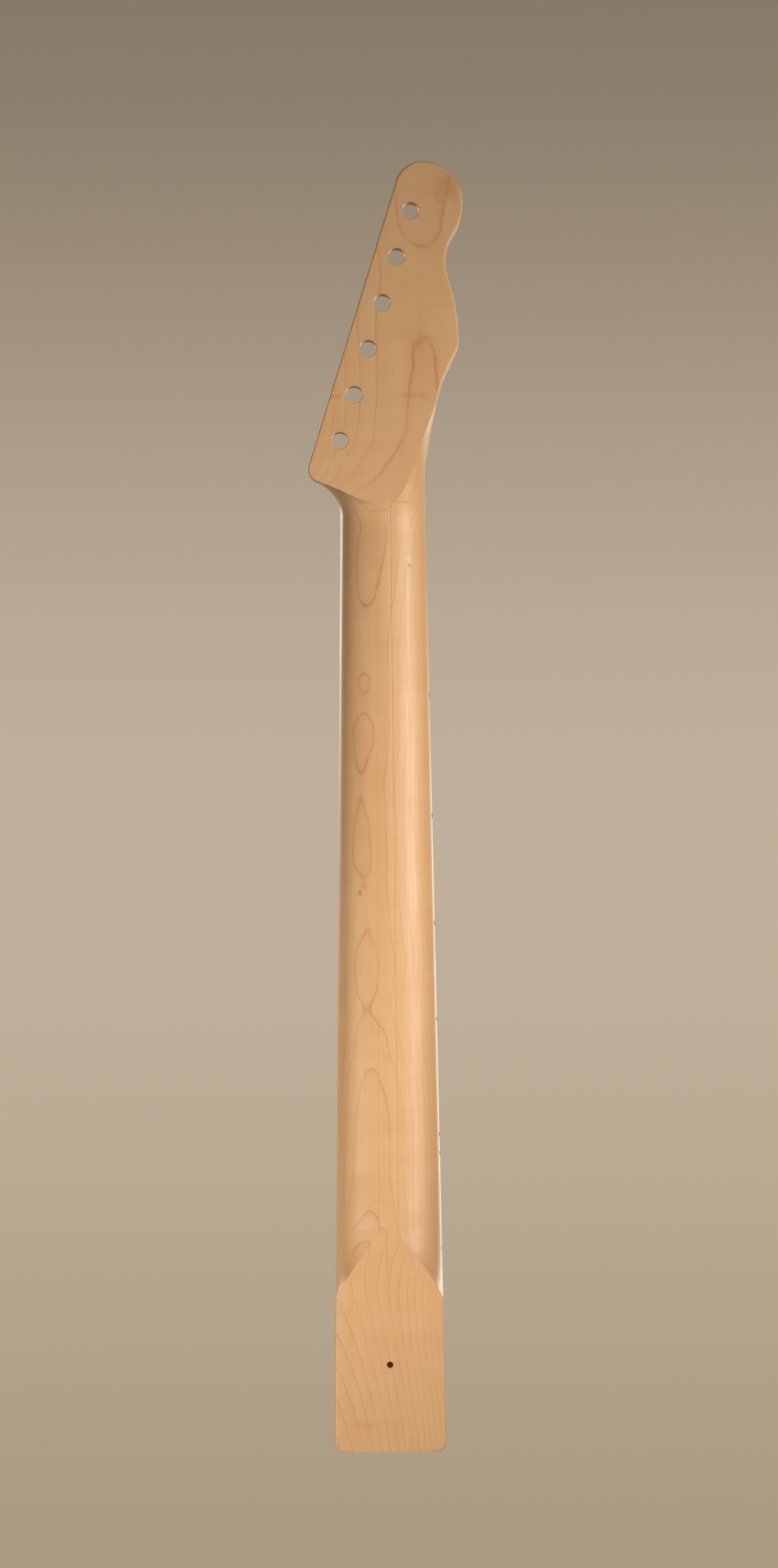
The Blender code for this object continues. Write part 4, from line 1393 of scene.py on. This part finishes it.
        # The tang shows as a small bright end in the board's side
        overhang = add(MATH, MULTIPLY, i0=size("Inset"), i1=self.tang_overhang)
        tang_reach = add(MATH, ADD, i0=reach, i1=overhang)
        tang_x = add(MATH, MULTIPLY, i0=across, i1=tang_reach)
        under = add(MATH, SUBTRACT, i0=around, i1=0.5)
        sunk = add(MATH, MULTIPLY, i0=under, i1=size("Tang Depth"))
        tang_y = add(MATH, ADD, i0=self.seat(tree, tang_x), i1=sunk)
        off_middle = add(MATH, MULTIPLY, i0=up, i1=size("Tang Width"))
        tang_z = add(MATH, ADD, i0=fret_z, i1=off_middle)
        tang_at = add("ShaderNodeCombineXYZ", i0=tang_x, i1=tang_y, i2=tang_z)
        both = add("GeometryNodeJoinGeometry")
        for piece, place in ((sheet, crown_at), (bar, tang_at)):
            laid = add("GeometryNodeInstanceOnPoints", Points=row, Instance=piece)
            real = add("GeometryNodeRealizeInstances", i0=laid)
            bent = add("GeometryNodeSetPosition", Geometry=real, Position=place)
            tree.tree.links.new(bent.outputs[0], both.inputs[0])
        tree.close(both)
        return tree.run("fret_set", material)


@dataclass
class Dots:
    """Black position dots in the face of the board and along its bass edge."""

    shape: NeckShape
    singles: tuple[int, ...] = (3, 5, 7, 9, 15, 17, 19, 21)
    octave: int = 12
    face_diameter: float = 0.00635
    face_thickness: float = 0.0015
    face_spread: float = 0.0210
    side_diameter: float = 0.0024
    side_length: float = 0.0030
    side_spread: float = 0.0095
    behind_glue: float = 0.0007
    proud: float = 0.00004
    side_proud: float = 0.00005

    def names(self) -> list[tuple[int, int, str]]:
        """(fret, side, name ending) of every dot.

        Returns:
            The dots, in the order of their names.
        """
        found = [(fret, 0, f"{fret:02d}") for fret in self.singles]
        found += [(self.octave, -1, f"{self.octave}_a"), (self.octave, 1, f"{self.octave}_b")]
        return sorted(found)

    def discs(self, name: str, spots: list[tuple[Vector, tuple[float, float, float]]], diameter: float,
              thickness: float, material: bpy.types.Material) -> bpy.types.Object:
        """Makes one disc at each spot with a tree.

        Args:
            name: Name of the object.
            spots: Centre of each disc and its turn.
            diameter: Diameter of the discs.
            thickness: Thickness of the discs.
            material: Finish of the discs.

        Returns:
            The finished object.
        """
        source = bpy.data.meshes.new(name + "_spots")
        source.from_pydata([spot for spot, _ in spots], [], [])
        turns = source.attributes.new("turn", "FLOAT_VECTOR", "POINT")
        turns.data.foreach_set("vector", [value for _, turn in spots for value in turn])
        tree = GeometryTree(name, {"Radius": diameter / 2, "Thickness": thickness})
        disc = tree.add("GeometryNodeMeshCylinder", Vertices=40, Radius=tree.size("Radius"),
                        Depth=tree.size("Thickness"))
        turn = tree.add("GeometryNodeInputNamedAttribute", {"data_type": "FLOAT_VECTOR"}, Name="turn")
        laid = tree.add("GeometryNodeInstanceOnPoints", Points=tree.given.outputs["Geometry"],
                        Instance=disc, Rotation=turn)
        tree.close(laid)
        return tree.run(name, material, source)

    def build_face(self, material: bpy.types.Material) -> bpy.types.Object:
        """Makes the dots in the face of the board.

        Args:
            material: Finish of the dots.

        Returns:
            The finished object.
        """
        s = self.shape
        spots = []
        for fret, side, _ in self.names():
            x = side * self.face_spread / 2
            lean = math.asin(x / s.board_radius)
            depth = self.face_thickness / 2 - self.proud
            centre = Vector((x - depth * math.sin(lean), s.board_top(x) - depth * math.cos(lean),
                             s.nut_z + s.between_frets(fret)))
            spots.append((centre, (math.pi / 2, 0.0, -lean)))
        return self.discs("face_dots", spots, self.face_diameter, self.face_thickness, material)

    def build_side(self, material: bpy.types.Material) -> bpy.types.Object:
        """Makes the dots along the bass edge.

        Args:
            material: Finish of the dots.

        Returns:
            The finished object.
        """
        s = self.shape
        spots = []
        for fret, side, _ in self.names():
            u = s.between_frets(fret) + side * self.side_spread / 2
            x = s.board_half(u) - self.side_length / 2 + self.side_proud
            centre = Vector((x, s.board_bottom_y - self.behind_glue, s.nut_z + u))
            spots.append((centre, (0.0, math.pi / 2, 0.0)))
        return self.discs("side_dots", spots, self.side_diameter, self.side_length, material)


@dataclass(frozen=True)
class Lamp:
    """A square soft lamp: its place, the point it faces, its side, its watts and its spread in degrees."""

    name: str
    place: tuple[float, float, float]
    aim: tuple[float, float, float]
    size: float
    watts: float
    spread: float


# Two lamps light the back that the main view shows, and two light the front for the other views
LAMPS = (
    Lamp("right_lamp", (0.90, -0.93, 0.34), (0, 0, 0.31), size=0.40, watts=1.50, spread=54),
    Lamp("lower_left_lamp", (-0.60, -0.65, -0.22), (0, 0, 0.02), size=0.35, watts=0.84, spread=60),
    Lamp("front_left_lamp", (-0.80, 1.30, 0.60), (0, 0, 0.28), size=0.50, watts=4.2, spread=120),
    Lamp("front_right_lamp", (0.70, 1.30, 0.10), (0, 0, 0.25), size=0.50, watts=2.4, spread=120),
)


@dataclass
class Studio:
    """Camera, soft lamps, floor and a pale background with painted light falloff."""

    distance: float = 2.7317
    pixels_per_metre: float = 3064.7
    centre_x: float = 0.0019
    centre_z: float = 0.2981
    roll: float = math.radians(0.48)
    floor_z: float = -0.21
    floor_radius: float = 0.60
    floor_colour: str = "#CFC5B8"
    # Painted light falloff: the lowest background colour, a little darker than the painted bright band above
    # it
    low_background_falloff: str = "#A8977F"
    # Painted light falloff: colours above the lowest one, each with the slope of view where it starts and
    # where it is full, paint a bright band just below level view that darkens towards the top, like a lamp's
    # pool on a backdrop
    background_light_falloff: tuple[tuple[str, float, float], ...] = (("#C0B09B", -0.17, -0.02), ("#857866", -0.01, 0.16))
    sky_strength: float = 0.17
    lamp_colour: str = "#FFFAF4"

    def camera(self) -> None:
        """Sets a long lens square to the back of the neck."""
        data = bpy.data.cameras.new("camera")
        data.sensor_fit = "VERTICAL"
        data.sensor_height = 36.0
        data.lens = self.pixels_per_metre * self.distance / IMAGE_HEIGHT * data.sensor_height
        data.clip_end = 20.0
        camera = bpy.data.objects.new("camera", data)
        bpy.context.scene.collection.objects.link(camera)
        turn = Matrix.Rotation(self.roll, 4, "Y") @ Matrix.Rotation(math.pi / 2, 4, "X")
        camera.matrix_world = Matrix.Translation((self.centre_x, -self.distance, self.centre_z)) @ turn
        bpy.context.scene.camera = camera

    def lamp(self, lamp: Lamp) -> None:
        """Adds a lamp that the camera doesn't see.

        Args:
            lamp: The lamp's place and light.
        """
        data = bpy.data.lights.new(lamp.name, "AREA")
        data.shape = "SQUARE"
        data.size = lamp.size
        data.energy = lamp.watts
        data.spread = math.radians(lamp.spread)
        data.color = linear(self.lamp_colour)[:3]
        stand = bpy.data.objects.new(lamp.name, data)
        stand.visible_camera = False
        stand.location = lamp.place
        stand.rotation_euler = (Vector(lamp.aim) - Vector(lamp.place)).to_track_quat("-Z", "Y").to_euler()
        bpy.context.scene.collection.objects.link(stand)

    def floor(self) -> bpy.types.Object:
        """Makes the pale round table top below the neck, small enough to stay out of the main view.

        Returns:
            The finished object.
        """
        top = Matrix.Translation((0, 0, self.floor_z))
        radius = self.floor_radius
        profile = [(radius - 0.01, -0.02), (radius, -0.015), (radius, -0.004), (radius - 0.004, 0.0)]
        disc = turned("floor", profile, top, 96)
        # Matt paper, pressed: an even pale warm grey without a shine
        material, tree, where = started("matt_paper", self.floor_colour)
        tooth = tree.add("ShaderNodeTexNoise", Vector=where, Scale=3.0, Detail=2.0)
        tint = tree.add("ShaderNodeMapRange", i0=tooth, i1=0.3, i2=0.7, i3=0.0, i4=1.0)
        base = linear(self.floor_colour)
        mixed = tree.add("ShaderNodeMix", BLEND_COLOURS, i0=tint, i6=base, i7=dimmed(base, 0.93)).outputs[2]
        shader = tree.add("ShaderNodeBsdfPrincipled", Base_Color=mixed, Roughness=0.9, IOR=1.45)
        tree.add("ShaderNodeOutputMaterial", Surface=shader)
        disc.data.materials.append(material)
        return disc

    def world(self) -> None:
        """Fills the shadows evenly, and shows a pale warm background with painted light falloff: a painted
        bright band just below level view, darker towards the top and a little darker below.
        """
        world = bpy.data.worlds.new("studio")
        world.use_nodes = True
        add = NodeTree(world.node_tree).add
        slope = add("ShaderNodeSeparateXYZ", i0=add("ShaderNodeTexCoord").outputs["Generated"]).outputs[2]
        # Painted light falloff on the background, blended by the slope of view
        pale = linear(self.low_background_falloff)
        for colour, low, high in self.background_light_falloff:
            share = add("ShaderNodeMapRange", SMOOTH_STEP, i0=slope, i1=low, i2=high, i3=0.0, i4=1.0)
            pale = add("ShaderNodeMix", BLEND_COLOURS, i0=share, i6=pale, i7=linear(colour)).outputs[2]
        shown = add("ShaderNodeBackground", Color=pale, Strength=1.0)
        sky = add("ShaderNodeBackground", Color=linear(self.lamp_colour), Strength=self.sky_strength)
        rays = add("ShaderNodeLightPath").outputs
        seen = add(MATH, MAXIMUM, i0=rays["Is Camera Ray"], i1=rays["Is Transmission Ray"])
        both = add("ShaderNodeMixShader", i0=seen, i1=sky, i2=shown)
        add("ShaderNodeOutputWorld", Surface=both)
        bpy.context.scene.world = world

    def build(self) -> None:
        """Sets up the whole studio."""
        self.camera()
        self.world()
        for lamp in LAMPS:
            self.lamp(lamp)
        self.floor()
        bpy.context.scene.view_settings.view_transform = "Standard"


# Ridge of the rings in the blank: (u, x) in mm. It crosses from the plain side in the headstock to the
# tuner side in the shaft.
NECK_RIDGE = (
    (-470, -62), (-420, -58), (-372, -44), (-340, -27), (-300, -24), (-262, -25), (-240, -33),
    (-215, -30), (-160, -41), (-110, -37), (-60, -30), (-20, -23), (4, -12), (30, 14), (60, 21),
    (110, 20), (150, 20), (185, 22),
)

# Level of the rings' lowest cut along the blank, in ring spacings: (u mm, level). The carved back shows a
# closed loop wherever it dips under a whole number.
NECK_LEVELS = (
    (-470, -9.4), (-440, -7.9), (-400, -5.6), (-378, -3.9), (-365, -3.02), (-349, -2.0), (-340, -1.82),
    (-300, -1.45), (-277, -1.0), (-262, -0.42), (-248, -0.10), (-232, -0.24), (-218, -0.28), (-208, 0.0),
    (-196, 0.12), (-181, 0.0), (-160, -0.18), (-138, 0.0), (-131, 0.07), (-126, 0.0), (-110, -0.20),
    (-96, -0.02), (-93, 0.02), (-84, -0.09), (-72, 0.0), (-62, 0.10), (-52, 0.05), (-46, 0.0),
    (-34, -0.25), (-10, -0.42), (2, -0.50), (5, -1.0), (20, -1.35), (60, -1.10), (100, -1.02),
    (125, -0.85), (150, -1.2), (185, -1.4),
)


# Cuts stay this far inside the heel's end and the tip, in metres, and each looks at this many places
HEEL_MARGIN = 0.006
TIP_MARGIN = 0.004
CUT_STEPS = 60


def ring_heights(shape: NeckShape, wood: Maple) -> tuple[tuple[float, float], ...]:
    """Works out how far the rings are lifted along the blank, so that each loop closes where it should.

    Args:
        shape: Form of the neck.
        wood: The wood with its ridge and ring sizes.

    Returns:
        (u, height) pairs in mm.
    """
    found = []
    for u, level in NECK_LEVELS:
        ridge = smooth_curve(list(NECK_RIDGE), u)
        place = min(max(u * MM, -shape.length + HEEL_MARGIN), shape.head_length - TIP_MARGIN)
        low = shape.tuner_edge(place) if place > 0 else -shape.board_half(place)
        high = shape.plain_edge(place) if place > 0 else shape.board_half(place)
        cuts = []
        for i in range(1, CUT_STEPS):
            x = low + (high - low) * i / CUT_STEPS
            cuts.append(shape.back_y(place, x) / MM + (x / MM - ridge) ** 2 / (2 * wood.ring_radius_mm))
        found.append((u, level * wood.ring_spacing_mm - min(cuts)))
    return tuple(found)


def main() -> None:
    """Builds the looks of the neck piece by piece."""
    logging.basicConfig(level=logging.INFO, format="%(message)s")
    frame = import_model()
    nut_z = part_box("nut")[0].z
    heel_end_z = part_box("neck_blank")[0].z
    shape = NeckShape(nut_z=nut_z, heel_end_z=heel_end_z, tip_z=nut_z + HEAD_LENGTH)
    Studio().build()

    # Specks, stains and mineral streaks, which break up the even wood
    blots = (
        Blot(13.0, -21.5, 1.3, 0.9, "#A5642F", 0.75),
        Blot(12.6, -18.6, 2.2, 2.2, "#EBCBA2", 0.45),
        Blot(-13.2, -187, 1.0, 2.0, "#B06A2C", 0.6),
        Blot(-1.0, -372, 0.7, 8.0, "#B27340", 0.4),
        Blot(-24.0, 63.5, 8.0, 2.4, "#C6823F", 0.5),
        Blot(16.0, 64.0, 11.0, 2.6, "#C9894A", 0.4),
        Blot(34.0, 168.0, 9.0, 10.0, "#BF8047", 0.35),
        Blot(17.0, 181.6, 2.2, 0.9, "#F3DDB8", 0.7),
        Blot(-14.0, -455, 9.0, 2.4, "#C98A4E", 0.35),
    )
    # Hard maple, planed and sanded bare: pale and satin, with thin late-wood lines over the carved back
    ridge_only = Maple("bare_hard_maple", ridge=NECK_RIDGE)
    heights = ring_heights(shape, ridge_only)
    maple = replace(ridge_only, height=heights, blots=blots).build(nut_z)
    # Hard maple, sawn flat and satin-varnished: the same wood, smoother, with fewer and fainter lines
    board_maple = Maple("satin_board_maple", pale="#DFB383", warm="#D4A472", roughness=0.38,
                        ring_radius_mm=55.0, ring_spacing_mm=2.6, wobble_mm=0.25, line_strength=0.5,
                        ridge=((-500, 8), (-300, -6), (-120, 12), (60, 2)),
                        height=((-500, 0.0), (-380, 1.6), (-260, -0.8), (-140, 1.4), (60, 0.2)))
    board_maple = board_maple.build(nut_z)
    # Bone, sawn and polished: off-white, with faint clouds and a soft shine
    bone = Cast("polished_bone", "#E9E0CB", "#DDD0B2", 0.32, 1.55).build()
    # ABS rod, cut and sanded flush with the wood: nearly black, with a dull shine
    black = Cast("sanded_black_abs", "#191715", "#221F1C", 0.42, 1.52).build()
    # Nickel silver, pressed: warm grey and bright, with fine marks along the wire
    nickel = Metal("pressed_nickel_silver", "#CFCBBF", 0.26, mark_mm=(5.0, 0.2, 0.2)).build()
    # Steel, thread rolled: grey, with the thread as bands of light at its pitch
    steel = Metal("rolled_thread_steel", "#9EA0A2", 0.36, thread_pitch_mm=0.794).build()
    # Steel, cold drawn: grey, with fine marks along the bar
    bar_steel = Metal("drawn_bar_steel", "#9B9DA0", 0.38).build()
    # Steel, black oxide: nearly black, with a dull metal shine
    dark_steel = Metal("black_oxide_steel", "#3A3A3C", 0.42).build()
    # Brass, milled: yellow, with the cutter's marks across the block
    brass = Metal("milled_brass", "#C9A65B", 0.30, mark_mm=(4.0, 0.15, 0.15)).build()

    def dress(piece: bpy.types.Object, material: bpy.types.Material, slot: Finish, nodes: list[str]) -> None:
        """Gives a new piece its finish and body, and lets it stand for its nodes.

        Args:
            piece: The new piece.
            material: Its finish.
            slot: Not used.
            nodes: Solids that it stands for.
        """
        piece.data.materials.clear()
        piece.data.materials.append(material)
        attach(piece, "neck")
        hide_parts(*nodes)
        LOG.info("%s: %d faces", piece.name, len(piece.data.polygons))

    dress(NeckBlank(shape).build(), maple, Finish.NECK, ["neck_blank"])
    dress(Fingerboard(shape).build(), board_maple, Finish.BOARD, ["fretboard"])
    dress(StringNut(shape).build(), bone, Finish.BONE, ["nut"])
    frets = [f"fret_{number:02d}" for number in range(1, shape.fret_count + 1)]
    dress(Frets(shape).build(nickel), nickel, Finish.FRETWIRE, frets)
    dots = Dots(shape)
    endings = [ending for _, _, ending in dots.names()]
    dress(dots.build_face(black), black, Finish.DOT, [f"face_dot_{ending}" for ending in endings])
    dress(dots.build_side(black), black, Finish.DOT, [f"side_dot_{ending}" for ending in endings])
    inside = {"truss_rod": steel, "truss_rod_nut": dark_steel, "truss_rod_bar": bar_steel,
              "truss_block_head": brass, "truss_block_heel": brass}
    for node, material in inside.items():
        materials = frame["nodes"][node].data.materials
        materials.clear()
        materials.append(material)


if __name__ == "__main__":
    main()
